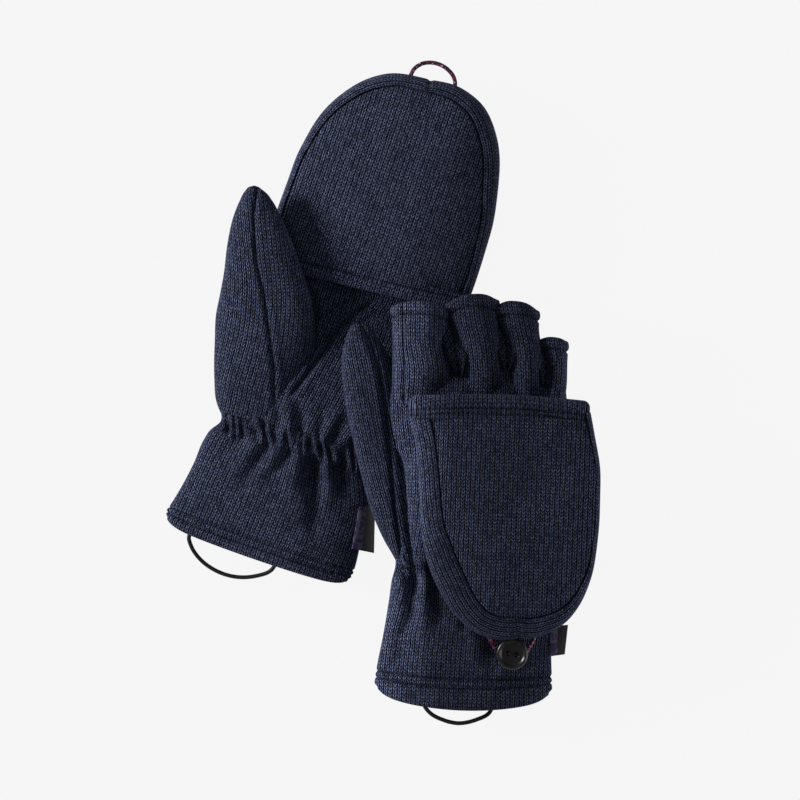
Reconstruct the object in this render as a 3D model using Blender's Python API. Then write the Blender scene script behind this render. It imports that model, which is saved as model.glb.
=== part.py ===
"""Pair of convertible flip-top mittens, built as separate panels, bands, cords and buttons.

The left mitten lies palm up with its cap over the fingers. The right one lies back up, partly on the
left one, with its cap folded back and held by the button. Every mitten is laid out in its own frame in
millimetres: u across, v from the wrist towards the fingertips, w from the back of the hand to the palm.
"""

import math
from types import SimpleNamespace

import bmesh
import bpy
from mathutils import Matrix, Vector

MM = 0.001
GAP = 0.4  # clear space between neighbouring pieces
WALL = 3.0  # fleece
FINGER_WALL = 2.2  # fleece, pressed thinner between the fingers
HEM_WALL = 4.4  # fleece folded once
RING = 5  # points on each quarter of a rounded section
HAND_DEEP = 24.0  # height at which the right mitten's back lies, palm down
FINGERS_START = 92.0  # where the cap is sewn to the back of the hand

# Sections of a tube: v, centre u, half width, back w, palm w.
LEFT = SimpleNamespace(
    name="left",
    palm_up=True,
    at=(-45.7, -29.2, 0.0),
    turn=-19.0,
    pitch=0.0,
    roll=0.0,
    cuff=[(-63.0, 0, 51.5, 5.0, 22.5), (-52, 0, 51.5, 5.0, 22.5), (-40.4, 0, 50.0, 5.0, 22.0)],
    hand=[
        (-40.0, 0, 49.5, 5.0, 22.0),
        (-20.0, 0, 47.0, 5.5, 21.0),
        (0.0, 0, 41.5, 6.0, 19.0),
        (16.0, 0, 45.0, 3.0, 21.0),
        (44.0, 5, 46.0, 0.0, 22.5),
        (70.0, 6, 45.5, 0.0, 22.3),
        (80.0, 5, 45.5, 0.0, 21.2),
        (91.6, 4, 46.0, 0.0, 20.8),
    ],
    # Centre u, v, w, half width and half depth of the thumb.
    thumb=[
        (-26, 22, 13.0, 15.0, 7.5),
        (-34, 40, 20.0, 21.0, 9.0),
        (-40, 58, 29.5, 23.0, 9.5),
        (-47, 80, 35.2, 22.5, 9.3),
        (-54, 100, 35.2, 19.0, 9.0),
        (-59, 112, 34.5, 14.0, 7.5),
        (-62, 119, 34.0, 8.5, 5.5),
        (-63, 122.5, 34.0, 3.4, 3.0),
    ],
    fingers={
        "index": [(92.4, -27.0, 13.6), (104, -28.0, 13.2), (126, -30.0, 12.6), (139.5, -31.0, 12.2)],
        "middle": [(92.4, 4.0, 12.4), (106, 2.0, 12.2), (128, -3.5, 12.2), (143.5, -5.5, 12.6)],
        "ring": [(92.4, 27.0, 8.6), (104, 25.0, 8.8), (124, 20.0, 9.4), (138, 18.5, 9.8)],
        "little": [(92.4, 43.2, 6.2), (102, 42.6, 6.2), (114, 40.2, 6.6), (121.5, 39.4, 7.0)],
    },
    finger_depth=(3.9, 18.5),
    cap=[
        (-48, 92.6), (-50, 110), (-50, 132), (-48, 152), (-38, 181), (-18, 201), (4, 207),
        (25, 205.5), (43, 195), (55, 170), (60, 144), (60, 118), (57, 92.6),
    ],
    cap_mitre=6,
    cap_low=0.0,
    cap_high=24.6,
    cap_dome=2.6,
    cap_hem=[(-41, 86.5), (-9, 88), (18, 91), (50, 97)],
    hinge=(3.0, FINGERS_START, -0.3),
    loop=[(-7, 207.6, 12), (-6.5, 211, 12), (-3, 215, 12), (3, 217.4, 12), (11, 216.4, 12), (16, 212.6, 12),
          (17.5, 208.4, 12)],
    cuff_cord=[(-38, -58, 14), (-38.5, -63, 14), (-36, -68, 14), (-29, -73, 14), (-19, -76, 14),
               (-8, -76, 14), (2, -72, 14), (9, -66, 14), (10, -58, 14)],
    label=(50.2, 58.5, -40.5, -15.0, 13.5),
    button=(22.0, -44.0),
    button_clear=0.9,
)
RIGHT = SimpleNamespace(
    name="right",
    palm_up=False,
    at=(47.7, -94.1, 8.7),
    turn=-2.0,
    pitch=4.9,
    roll=6.9,
    cuff=[(-71.0, -3, 46.0, 5.0, 22.5), (-60, -3, 46.0, 5.0, 22.5), (-45.4, -2, 45.5, 5.0, 22.0)],
    hand=[
        (-45.0, -2, 45.0, 5.0, 22.0),
        (-22.0, -1, 43.0, 5.5, 21.0),
        (0.0, 0, 40.0, 6.0, 19.5),
        (16.0, 1, 43.0, 3.0, 21.5),
        (44.0, 2, 45.5, 0.0, 23.0),
        (70.0, 1, 46.0, 0.0, 23.5),
        (91.6, 0, 46.5, 0.0, 22.0),
    ],
    thumb=[
        (-31, 14, 12.0, 12.0, 7.0),
        (-40, 34, 12.5, 14.5, 8.5),
        (-51, 56, 13.0, 14.5, 9.0),
        (-58, 80, 13.0, 14.0, 9.0),
        (-60.5, 100, 13.0, 12.2, 8.8),
        (-61.5, 113, 13.0, 9.8, 7.5),
        (-62, 121, 13.0, 6.5, 5.5),
        (-62, 124.5, 13.0, 3.0, 2.8),
    ],
    fingers={
        "index": [(92.4, -29.5, 16.4), (104, -30.0, 15.6), (125, -32.2, 14.0), (136.5, -33.0, 13.6)],
        "middle": [(92.4, 2.0, 12.8), (106, 1.0, 12.4), (128, -4.5, 12.6), (143, -6.5, 13.0)],
        "ring": [(92.4, 25.0, 8.4), (104, 24.0, 8.6), (124, 19.6, 9.2), (139.5, 18.2, 10.2)],
        "little": [(92.4, 41.4, 6.0), (102, 41.2, 6.2), (114, 39.4, 6.4), (122.5, 38.8, 6.8)],
    },
    finger_depth=(3.9, 18.5),
    cap=[
        (-32, 89.0), (-31, 74), (-28, 50), (-27, 22), (-24, 3), (-17, -12), (-4, -27), (12, -34.5),
        (25, -35.5), (39, -31.5), (53, -19), (60, -2), (62, 22), (62, 50), (59, 74), (56, 93.6),
    ],
    cap_mitre=8,
    cap_low=-4.0,
    cap_high=-19.0,
    cap_dome=-3.2,
    cap_hem=[(-24.4, 85.5), (0, 87), (26, 87), (49.2, 85.5)],
    hinge=(12.0, FINGERS_START, -3.6),
    loop=[(9.5, -36.6, -8), (10.5, -40.5, -2.5), (13.5, -45.5, 2.6), (17.5, -48.6, 3.6), (22, -49.6, 3.6),
          (26.5, -48.6, 3.6), (30.5, -45.0, 2.6), (34, -40.5, -2.5), (36, -36.8, -8)],
    cuff_cord=[(-24, -66, 14), (-25, -71, 14), (-22, -77, 14), (-14, -80.5, 14), (-5, -81.5, 14),
               (5, -79.5, 14), (12, -75, 14), (14, -66, 14)],
    label=(44.2, 52.0, -45.0, -26.0, 13.5),
    button=(22.0, -45.4),
    button_clear=2.9,
)

HEM_LONG = 6.5
HEM_OUT = 0.9
FOURCHETTE = {"index": ("middle", 104.0, 121.0), "middle": ("ring", 105.0, 122.0),
              "ring": ("little", 102.5, 113.5)}
NOTCH = 0.45  # how far up a fourchette its fold starts
STRIP_FLANGE = 6.0
ELASTIC_WIDE = 27.0
ELASTIC_LONG = 3.5
ELASTIC_THICK = 1.2
CORD_DIAMETER = 2.2
CORD_POINTS = 34
BUTTON_RADIUS = 8.4
BUTTON_THICK = 3.2
BUTTON_DISH = 1.1
BUTTON_RIM = 1.5
BUTTON_HOLE = 1.1
BUTTON_HOLE_APART = 2.4
BUTTON_SIDES = 28
CUFF_BACK = 5.0  # w of the cloth that the button is sewn to
THREAD_RADIUS = 0.55
LABEL_THICK = 0.9

NAVY = (0.022, 0.030, 0.075, 1.0)
NAVY_BAND = (0.018, 0.025, 0.066, 1.0)
BLACK = (0.006, 0.006, 0.008, 1.0)
LOOP = (0.055, 0.020, 0.045, 1.0)
RESIN = (0.022, 0.019, 0.020, 1.0)
THREAD = (0.015, 0.016, 0.030, 1.0)
LABEL = (0.010, 0.010, 0.014, 1.0)
ELASTIC = (0.030, 0.030, 0.036, 1.0)


def clear_scene():
    for obj in list(bpy.data.objects):
        bpy.data.objects.remove(obj, do_unlink=True)


def material(name, colour, roughness, sheen=0.0):
    made = bpy.data.materials.get(name)
    if made:
        return made
    made = bpy.data.materials.new(name)
    made.use_nodes = True
    shader = made.node_tree.nodes["Principled BSDF"]
    shader.inputs["Base Color"].default_value = colour
    shader.inputs["Roughness"].default_value = roughness
    shader.inputs["Sheen Weight"].default_value = sheen
    made.diffuse_color = colour
    return made


# Frames ---------------------------------------------------------------------------------------------


def laid(side, point):
    """A point of the mitten's own frame, with z up as it lies."""
    u, v, w = point
    return Vector((u, v, w if side.palm_up else HAND_DEEP - w)) * MM


def hinge_at(side):
    return laid(side, side.hinge)


def make_empty(name, parent=None, at=(0, 0, 0)):
    empty = bpy.data.objects.new(name, None)
    empty.empty_display_size = 0.02
    empty.location = at
    empty.parent = parent
    bpy.context.scene.collection.objects.link(empty)
    return empty


def lay_down(side):
    """The empty that holds a mitten, and the one on its cap's hinge."""
    frame = make_empty(f"{side.name}_frame", at=Vector(side.at) * MM)
    frame.matrix_world = lie_matrix(side)
    side.frame = frame
    side.hinge_frame = make_empty(f"{side.name}_cap_hinge", frame, hinge_at(side))


def lie_matrix(side):
    turn = Matrix.Rotation(math.radians(side.turn), 4, "Z")
    pitch = Matrix.Rotation(math.radians(side.pitch), 4, "X")
    roll = Matrix.Rotation(math.radians(side.roll), 4, "Y")
    return Matrix.Translation(Vector(side.at) * MM) @ turn @ pitch @ roll


def lowest(side, objects):
    bpy.context.view_layer.update()
    world = [obj.matrix_world @ Vector(c) for obj in objects for c in obj.bound_box]
    return min(point.z for point in world)


# Meshes ---------------------------------------------------------------------------------------------


def add_mesh(side, name, points, faces, look, on_cap=False):
    """Adds a closed body given in the mitten's own frame, with its faces turned outwards."""
    origin = hinge_at(side) if on_cap else Vector()
    bm = bmesh.new()
    verts = [bm.verts.new(laid(side, p) - origin) for p in points]
    for face in faces:
        bm.faces.new([verts[i] for i in face])
    bmesh.ops.recalc_face_normals(bm, faces=bm.faces)
    mesh = bpy.data.meshes.new(f"{side.name}_{name}")
    bm.to_mesh(mesh)
    bm.free()
    mesh.materials.append(look)
    obj = bpy.data.objects.new(f"{side.name}_{name}", mesh)
    obj.parent = side.hinge_frame if on_cap else side.frame
    bpy.context.scene.collection.objects.link(obj)
    return obj


def shell(outer, inner, ring):
    """A wall between two stacks of loops. ring joins each loop's ends; otherwise the wall is a trough."""
    count, rows = len(outer[0]), len(outer)
    points = [p for loop in outer for p in loop] + [p for loop in inner for p in loop]
    half = count * rows
    steps = count if ring else count - 1
    faces = []
    for i in range(steps):
        j = (i + 1) % count
        for row in range(rows - 1):
            a, b = row * count, (row + 1) * count
            faces.append((a + i, a + j, b + j, b + i))
            faces.append((half + a + i, half + b + i, half + b + j, half + a + j))
        top = (rows - 1) * count
        faces.append((i, half + i, half + j, j))
        faces.append((top + i, top + j, half + top + j, half + top + i))
    if not ring:
        for row in range(rows - 1):
            a, b = row * count, (row + 1) * count
            for k in (0, count - 1):
                faces.append((a + k, b + k, half + b + k, half + a + k))
    return points, faces


def loft(loops):
    """A solid through a stack of closed loops, with flat ends."""
    count, rows = len(loops[0]), len(loops)
    points = [p for loop in loops for p in loop]
    faces = []
    for row in range(rows - 1):
        a, b = row * count, (row + 1) * count
        for i in range(count):
            j = (i + 1) % count
            faces.append((a + i, a + j, b + j, b + i))
    faces.append(tuple(range(count)))
    faces.append(tuple(range((rows - 1) * count, rows * count)))
    return points, faces


def rounded(section, inset, part="all"):
    """The loop of a rounded section: the whole of it, its palm half or its back half."""
    v, centre, wide, back, palm = section
    middle, deep = (back + palm) / 2, (palm - back) / 2 - inset
    if part != "all":
        deep -= GAP / 2
    wide, radius = wide - inset, deep - 0.02 * (palm - back) / 2
    found = []
    for corner in range(4):
        across = 1 if corner in (0, 3) else -1
        up = 1 if corner < 2 else -1
        if part == "palm" and up < 0 or part == "back" and up > 0:
            continue
        apart = 0 if part == "all" else up * GAP / 2
        for step in range(RING):
            angle = math.radians(90 * corner + 90 * step / (RING - 1))
            rise = abs(math.sin(angle)) * radius
            found.append((
                centre + across * (wide - radius) + math.cos(angle) * radius,
                v,
                middle + apart + up * ((deep - radius) + rise),
            ))
    return found


def smooth(points, count):
    """count points spread along a smooth curve through the route's points."""
    route = [Vector(p) for p in points]
    route = [2 * route[0] - route[1]] + route + [2 * route[-1] - route[-2]]
    fine = []
    for k in range(1, len(route) - 2):
        p0, p1, p2, p3 = route[k - 1 : k + 3]
        for step in range(12):
            t = step / 12
            fine.append(0.5 * (
                2 * p1 + (p2 - p0) * t + (2 * p0 - 5 * p1 + 4 * p2 - p3) * t * t
                + (3 * p1 - p0 - 3 * p2 + p3) * t * t * t
            ))
    fine.append(route[-2])
    run = [0.0]
    for a, b in zip(fine, fine[1:]):
        run.append(run[-1] + (b - a).length)
    found, k = [], 0
    for i in range(count):
        want = run[-1] * i / (count - 1)
        while k < len(run) - 2 and run[k + 1] < want:
            k += 1
        share = (want - run[k]) / max(run[k + 1] - run[k], 1e-9)
        found.append(fine[k].lerp(fine[k + 1], share))
    return found


# Hand -----------------------------------------------------------------------------------------------


def thumb_loops(side, grow, angles, apart=0.0):
    """Loops round the thumb's axis, grown or shrunk, at the given angles."""
    axis = side.thumb
    loops = []
    for k, (u, v, w, wide, deep) in enumerate(axis):
        ahead, behind = axis[min(k + 1, len(axis) - 1)], axis[max(k - 1, 0)]
        way = Vector((ahead[0] - behind[0], ahead[1] - behind[1], 0)).normalized()
        across = Vector((way.y, -way.x, 0))
        loop = []
        for angle in angles:
            reach = max(wide + grow, 0.8) * math.cos(angle) + apart
            rise = max(deep + grow, 0.8) * math.sin(angle)
            loop.append(tuple(Vector((u, v, w)) + across * reach + Vector((0, 0, rise))))
        loops.append(loop)
    return loops


def thumb_cutter(side):
    angles = [math.radians(360 * k / 20) for k in range(20)]
    loops = thumb_loops(side, GAP, angles)
    points, faces = loft(loops)
    cutter = add_mesh(side, "thumb_cutter", points, faces, material("cutter", NAVY, 1.0))
    cutter.hide_render = True
    cutter.display_type = "WIRE"
    return cutter


def cut(obj, cutter):
    modifier = obj.modifiers.new("thumb_hole", "BOOLEAN")
    modifier.operation = "DIFFERENCE"
    modifier.solver = "EXACT"
    modifier.object = cutter


def build_hand(side, knit):
    cutter = thumb_cutter(side)
    for part, name in (("palm", "palm_panel"), ("back", "back_panel")):
        outer = [rounded(s, 0, part) for s in side.hand]
        inner = [rounded(s, WALL, part) for s in side.hand]
        obj = add_mesh(side, name, *shell(outer, inner, False), knit)
        cut(obj, cutter)


def build_thumb(side, knit):
    for name, first, apart in (("thumb_outer_panel", 90, -GAP / 2), ("thumb_inner_panel", -90, GAP / 2)):
        angles = [math.radians(first + 180 * k / 8) for k in range(9)]
        outer = thumb_loops(side, 0, angles, apart)
        inner = thumb_loops(side, -WALL, angles, apart)
        add_mesh(side, name, *shell(outer, inner, False), knit)


def finger_section(side, station, grow=0.0):
    v, centre, wide = station
    back, palm = side.finger_depth
    return (v, centre, wide + grow, back - grow, palm + grow)


def build_fingers(side, knit, band):
    for finger, stations in side.fingers.items():
        outer = [rounded(finger_section(side, s), 0) for s in stations]
        inner = [rounded(finger_section(side, s), FINGER_WALL) for s in stations]
        add_mesh(side, f"{finger}_sleeve", *shell(outer, inner, True), knit)
        v, centre, wide = stations[-1]
        rows = [(v + GAP, centre, wide - 0.4), (v + HEM_LONG / 2, centre, wide), (v + HEM_LONG, centre, wide - 0.5)]
        outer = [rounded(finger_section(side, s, grow), 0) for s, grow in zip(rows, (0.2, 0.2, -0.2))]
        inner = [rounded(finger_section(side, s, grow), FINGER_WALL) for s, grow in zip(rows, (0.2, 0.2, -0.2))]
        add_mesh(side, f"{finger}_hem", *shell(outer, inner, True), band)


def edge_at(stations, v, sign):
    """The outer edge of a finger sleeve at v."""
    for (v0, c0, w0), (v1, c1, w1) in zip(stations, stations[1:]):
        if v <= v1 or (v1, c1, w1) == stations[-1]:
            share = (v - v0) / (v1 - v0)
            return c0 + (c1 - c0) * share + sign * (w0 + (w1 - w0) * share)


def build_fourchettes(side, band):
    back, palm = side.finger_depth
    middle = (back + palm) / 2
    for finger, (other, low, high) in FOURCHETTE.items():
        left = [edge_at(side.fingers[finger], v, 1) + GAP for v in (low, high)]
        right = [edge_at(side.fingers[other], v, -1) - GAP for v in (low, high)]
        ends = [(a + b) / 2 for a, b in zip(left, right)]
        notch = (ends[0] + NOTCH * (ends[1] - ends[0]), low + NOTCH * (high - low))
        flat = [(left[0], low), (right[0], low), (right[1], high), notch, (left[1], high)]
        loops = [[(u, v, w) for u, v in flat] for w in (middle - 4.0, middle + 4.0)]
        add_mesh(side, f"{finger}_{other}_fourchette", *loft(loops), band)


def build_wrist_elastic(side, look):
    wrist = next(s for s in side.hand if s[0] == 0.0)
    top = wrist[4] - WALL - GAP
    flat = [(-ELASTIC_WIDE, -ELASTIC_LONG), (ELASTIC_WIDE, -ELASTIC_LONG),
            (ELASTIC_WIDE, ELASTIC_LONG), (-ELASTIC_WIDE, ELASTIC_LONG)]
    loops = [[(u, v, w) for u, v in flat] for w in (top - ELASTIC_THICK, top)]
    add_mesh(side, "wrist_elastic", *loft(loops), look)


def build_cuff(side, band):
    outer = [rounded(s, 0) for s in side.cuff]
    inner = [rounded(s, HEM_WALL) for s in side.cuff]
    add_mesh(side, "cuff_hem", *shell(outer, inner, True), band)


def build_label(side, look):
    near, far, low, high, w = side.label
    flat = [(near, low), (far, low), (far, high), (near, high)]
    loops = [[(u, v, w + k * LABEL_THICK / 2) for u, v in flat] for k in (-1, 1)]
    add_mesh(side, "side_label", *loft(loops), look)


# Button ---------------------------------------------------------------------------------------------


def circle(centre, radius, w, count=BUTTON_SIDES):
    turns = [2 * math.pi * k / count for k in range(count)]
    return [(centre[0] + radius * math.cos(t), centre[1] + radius * math.sin(t), w) for t in turns]


def back_at(side, v):
    for low, high in zip(side.hand, side.hand[1:]):
        if v <= high[0]:
            share = (v - low[0]) / (high[0] - low[0])
            return low[3] + (high[3] - low[3]) * max(share, 0)
    return side.hand[-1][3]


def build_button(side, resin, thread):
    near = CUFF_BACK - side.button_clear
    far = near - BUTTON_THICK
    r, rim = BUTTON_RADIUS, BUTTON_RIM
    rows = [(r - 1.6, near), (r - 0.3, near - 0.8), (r, near - 1.7), (r - 0.5, far + 0.25), (r - rim * 0.7, far),
            (r - rim - 0.5, far + 0.35), (r - rim - 1.2, far + BUTTON_DISH)]
    loops = [circle(side.button, radius, w) for radius, w in rows]
    button = add_mesh(side, "button", *loft(loops), resin)
    for k, sign in enumerate((-1, 1)):
        centre = (side.button[0] + sign * BUTTON_HOLE_APART, side.button[1] - sign * 0.35)
        hole = [circle(centre, BUTTON_HOLE, w, 10) for w in (far - 1, near + 1)]
        cutter = add_mesh(side, f"hole_cutter_{k}", *loft(hole), resin)
        cutter.hide_render = True
        cutter.display_type = "WIRE"
        cut(button, cutter)
    build_thread(side, thread, near, far + BUTTON_DISH)


def build_thread(side, look, near, face):
    """One thread from the cloth, through one hole, across the dish and back."""
    u, v = side.button
    a, b = BUTTON_HOLE_APART, 0.35
    low, over = CUFF_BACK - GAP, face - THREAD_RADIUS - 0.15
    route = [(u - a, v + b, low), (u - a, v + b, over + 0.3), (u - a * 0.7, v + b * 0.7, over),
             (u + a * 0.7, v - b * 0.7, over), (u + a, v - b, over + 0.3), (u + a, v - b, low)]
    add_mesh(side, "button_thread", *loft(tube_loops(route, THREAD_RADIUS, 6)), look)


def tube_loops(route, radius, sides):
    route = [Vector(p) for p in route]
    loops = []
    for k, point in enumerate(route):
        way = (route[min(k + 1, len(route) - 1)] - route[max(k - 1, 0)]).normalized()
        side_way = Vector((0, 1, 0))
        up = way.cross(side_way).normalized()
        loops.append([
            tuple(point + side_way * radius * math.cos(2 * math.pi * i / sides)
                  + up * radius * math.sin(2 * math.pi * i / sides))
            for i in range(sides)
        ])
    return loops


# Cap ------------------------------------------------------------------------------------------------


def cap_path(side, count):
    return [Vector((p.x, p.y)) for p in smooth([(u, v, 0) for u, v in side.cap], count)]


def outwards(path):
    """The outward direction at each point of the cap's outline."""
    centre = sum(path, Vector((0, 0))) / len(path)
    found = []
    for k, point in enumerate(path):
        way = (path[min(k + 1, len(path) - 1)] - path[max(k - 1, 0)]).normalized()
        normal = Vector((way.y, -way.x))
        found.append(normal if normal.dot(point - centre) > 0 else -normal)
    return found


def cap_levels(side):
    """Lowest and highest w of the cap, and +1 or -1 from its back panel towards its palm panel."""
    return side.cap_low, side.cap_high, 1 if side.cap_high > side.cap_low else -1


def strip_profile(side):
    """(inset, w) round the section of an edge strip, with its two flanges."""
    low, high, way = cap_levels(side)
    deep, t, f = abs(high - low), WALL, STRIP_FLANGE
    outer = [(f, 0), (2.2, 0.5), (0.5, deep * 0.2), (0, deep * 0.5), (0.5, deep * 0.8), (2.2, deep - 0.5), (f, deep)]
    inner = [(f, deep - t), (4.2, deep - t - 0.2), (t + 0.4, deep * 0.7), (t, deep * 0.5),
             (t + 0.4, deep * 0.3), (4.2, t + 0.2), (f, t)]
    return [(inset, low + way * rise) for inset, rise in outer + inner]


def mitre_share(side):
    """How far along the outline the two edge strips meet."""
    fine = smooth([(u, v, 0) for u, v in side.cap], 200)
    corner = Vector((*side.cap[side.cap_mitre], 0))
    return min(range(200), key=lambda k: (fine[k] - corner).length) / 199


def build_strips(side, band):
    fine = cap_path(side, 241)
    normals = outwards(fine)
    meet = round(mitre_share(side) * 240)
    profile = strip_profile(side)
    for name, first, last in (("cap_strip_thumb_side", 0, meet - 1), ("cap_strip_little_side", meet + 1, 240)):
        stops = [round(first + (last - first) * k / 13) for k in range(14)]
        loops = [[tuple(fine[s] - normals[s] * inset) + (w,) for inset, w in profile] for s in stops]
        add_mesh(side, name, *loft(loops), band, on_cap=True)


def inset_outline(side, inset, count):
    path = cap_path(side, count)
    return [p - n * inset for p, n in zip(path, outwards(path))]


def sheet(outline, level, thick, dome):
    """A panel inside an outline: outer face at level, pushed out by dome in its middle."""
    centre = sum(outline, Vector((0, 0))) / len(outline)
    scales = (1.0, 0.82, 0.5, 0.2)
    outer = [[tuple(centre + (p - centre) * s) + (level + dome * (1 - s**2),) for p in outline] for s in scales]
    inner = [[(u, v, w - thick) for u, v, w in loop] for loop in outer]
    count, rows = len(outline), len(scales)
    points = [p for loop in outer for p in loop] + [p for loop in inner for p in loop]
    half = count * rows
    faces = []
    for i in range(count):
        j = (i + 1) % count
        for row in range(rows - 1):
            a, b = row * count, (row + 1) * count
            faces.append((a + i, a + j, b + j, b + i))
            faces.append((half + a + i, half + b + i, half + b + j, half + a + j))
        faces.append((i, half + i, half + j, j))
    last = (rows - 1) * count
    faces.append(tuple(range(last, last + count)))
    faces.append(tuple(range(half + last, half + last + count)))
    return points, faces


def build_cap_panels(side, knit):
    low, high, way = cap_levels(side)
    outline = inset_outline(side, STRIP_FLANGE + 4 * GAP, 36)
    add_mesh(side, "cap_back_panel", *sheet(outline, low, -way * WALL, 0), knit, on_cap=True)
    hem = [Vector(p[:2]) for p in smooth([(u, v, 0) for u, v in side.cap_hem], 8)]
    reach = 8.0 + GAP
    ahead = 1 if side.palm_up else -1
    hem = [Vector((p.x, p.y + ahead * reach * 0.5)) for p in hem]
    edge = [p for p in outline if (p.y - (hem[0].y if p.x < 0 else hem[-1].y)) * ahead > 1.5]
    hem[0].x, hem[-1].x = edge[0].x, edge[-1].x
    panel = edge + hem[::-1]
    add_mesh(side, "cap_palm_panel", *sheet(panel, high, way * WALL, side.cap_dome), knit, on_cap=True)


def build_cap_hem(side, band):
    low, high, way = cap_levels(side)
    route = smooth([(u, v, 0) for u, v in side.cap_hem], 12)
    near, far = high - way * WALL, high + way * 0.6
    loops = []
    for p in route:
        loops.append([
            (p.x, p.y - 3.6, near + way * 0.7), (p.x, p.y - 2.6, near), (p.x, p.y + 2.6, near),
            (p.x, p.y + 3.6, near + way * 0.7), (p.x, p.y + 3.6, far - way * 0.8), (p.x, p.y + 2.4, far),
            (p.x, p.y - 2.4, far), (p.x, p.y - 3.6, far - way * 0.8),
        ])
    add_mesh(side, "cap_hem", *loft(loops), band, on_cap=True)


def build_cord(side, name, route, look, on_cap):
    points = smooth(route, CORD_POINTS)
    curve = bpy.data.curves.new(f"{side.name}_{name}", "CURVE")
    curve.dimensions = "3D"
    curve.bevel_depth = CORD_DIAMETER / 2 * MM
    curve.bevel_resolution = 1
    curve.use_fill_caps = True
    spline = curve.splines.new("POLY")
    spline.points.add(len(points) - 1)
    origin = hinge_at(side) if on_cap else Vector()
    for spot, point in zip(spline.points, points):
        spot.co = (*(laid(side, point) - origin), 1)
    curve.materials.append(look)
    obj = bpy.data.objects.new(f"{side.name}_{name}", curve)
    obj.parent = side.hinge_frame if on_cap else side.frame
    bpy.context.scene.collection.objects.link(obj)


def build_mitten(side):
    knit = material("knit_navy", NAVY, 0.95, 0.4)
    band = material("knit_navy_band", NAVY_BAND, 0.95, 0.4)
    lay_down(side)
    build_hand(side, knit)
    build_thumb(side, knit)
    build_fingers(side, knit, band)
    build_fourchettes(side, band)
    build_wrist_elastic(side, material("elastic_grey", ELASTIC, 0.8))
    build_cuff(side, band)
    build_label(side, material("label_weave", LABEL, 0.7))
    build_button(side, material("button_resin", RESIN, 0.35), material("sewing_thread", THREAD, 0.8))
    build_cap_panels(side, knit)
    build_strips(side, band)
    build_cap_hem(side, band)
    build_cord(side, "cap_loop", side.loop, material("loop_cord", LOOP, 0.7), True)
    build_cord(side, "cuff_cord", side.cuff_cord, material("elastic_black", BLACK, 0.7), False)


clear_scene()
for mitten in (LEFT, RIGHT):
    build_mitten(mitten)
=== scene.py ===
"""Looks of the pair of flip-top mittens: camera, light, knit, seams, folds, cords and buttons.

Each mitten is shaped in its own plan: u across, v from the wrist to the fingertips, z up from the surface
that it lies on, in millimetres. place() puts a plan point into the row frame.
"""

import math
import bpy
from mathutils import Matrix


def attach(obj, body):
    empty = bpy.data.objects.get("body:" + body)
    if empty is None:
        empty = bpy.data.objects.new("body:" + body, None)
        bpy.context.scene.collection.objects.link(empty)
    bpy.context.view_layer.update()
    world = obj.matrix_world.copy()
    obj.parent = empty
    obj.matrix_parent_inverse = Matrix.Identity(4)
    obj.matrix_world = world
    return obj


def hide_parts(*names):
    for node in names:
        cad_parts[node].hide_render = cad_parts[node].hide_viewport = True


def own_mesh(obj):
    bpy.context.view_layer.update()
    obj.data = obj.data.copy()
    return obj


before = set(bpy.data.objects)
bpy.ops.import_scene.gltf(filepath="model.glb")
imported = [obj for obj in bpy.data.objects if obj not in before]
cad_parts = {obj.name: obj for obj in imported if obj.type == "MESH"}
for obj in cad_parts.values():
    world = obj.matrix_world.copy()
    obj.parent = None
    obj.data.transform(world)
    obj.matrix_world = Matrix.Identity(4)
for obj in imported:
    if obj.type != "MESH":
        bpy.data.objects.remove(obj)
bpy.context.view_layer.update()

from types import SimpleNamespace

import bpy
import numpy as np
from mathutils import Vector

# Camera ---------------------------------------------------------------------------------------------

EYE_HEIGHT = 1.515
VIEW_CENTRE = (0.0094, -0.0048)
VIEW_WIDE = 0.424
SENSOR = 36.0
TRUE_LEVEL = 15.0  # mm above the floor at which plan sizes are exact


def add_camera():
    data = bpy.data.cameras.new("photo_camera")
    data.sensor_width = SENSOR
    data.lens = SENSOR * (EYE_HEIGHT - TRUE_LEVEL / 1000) / VIEW_WIDE
    data.clip_end = 10
    camera = bpy.data.objects.new("photo_camera", data)
    camera.location = (*VIEW_CENTRE, EYE_HEIGHT)
    bpy.context.scene.collection.objects.link(camera)
    bpy.context.scene.camera = camera


add_camera()

# Plans of the two mittens ---------------------------------------------------------------------------

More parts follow.
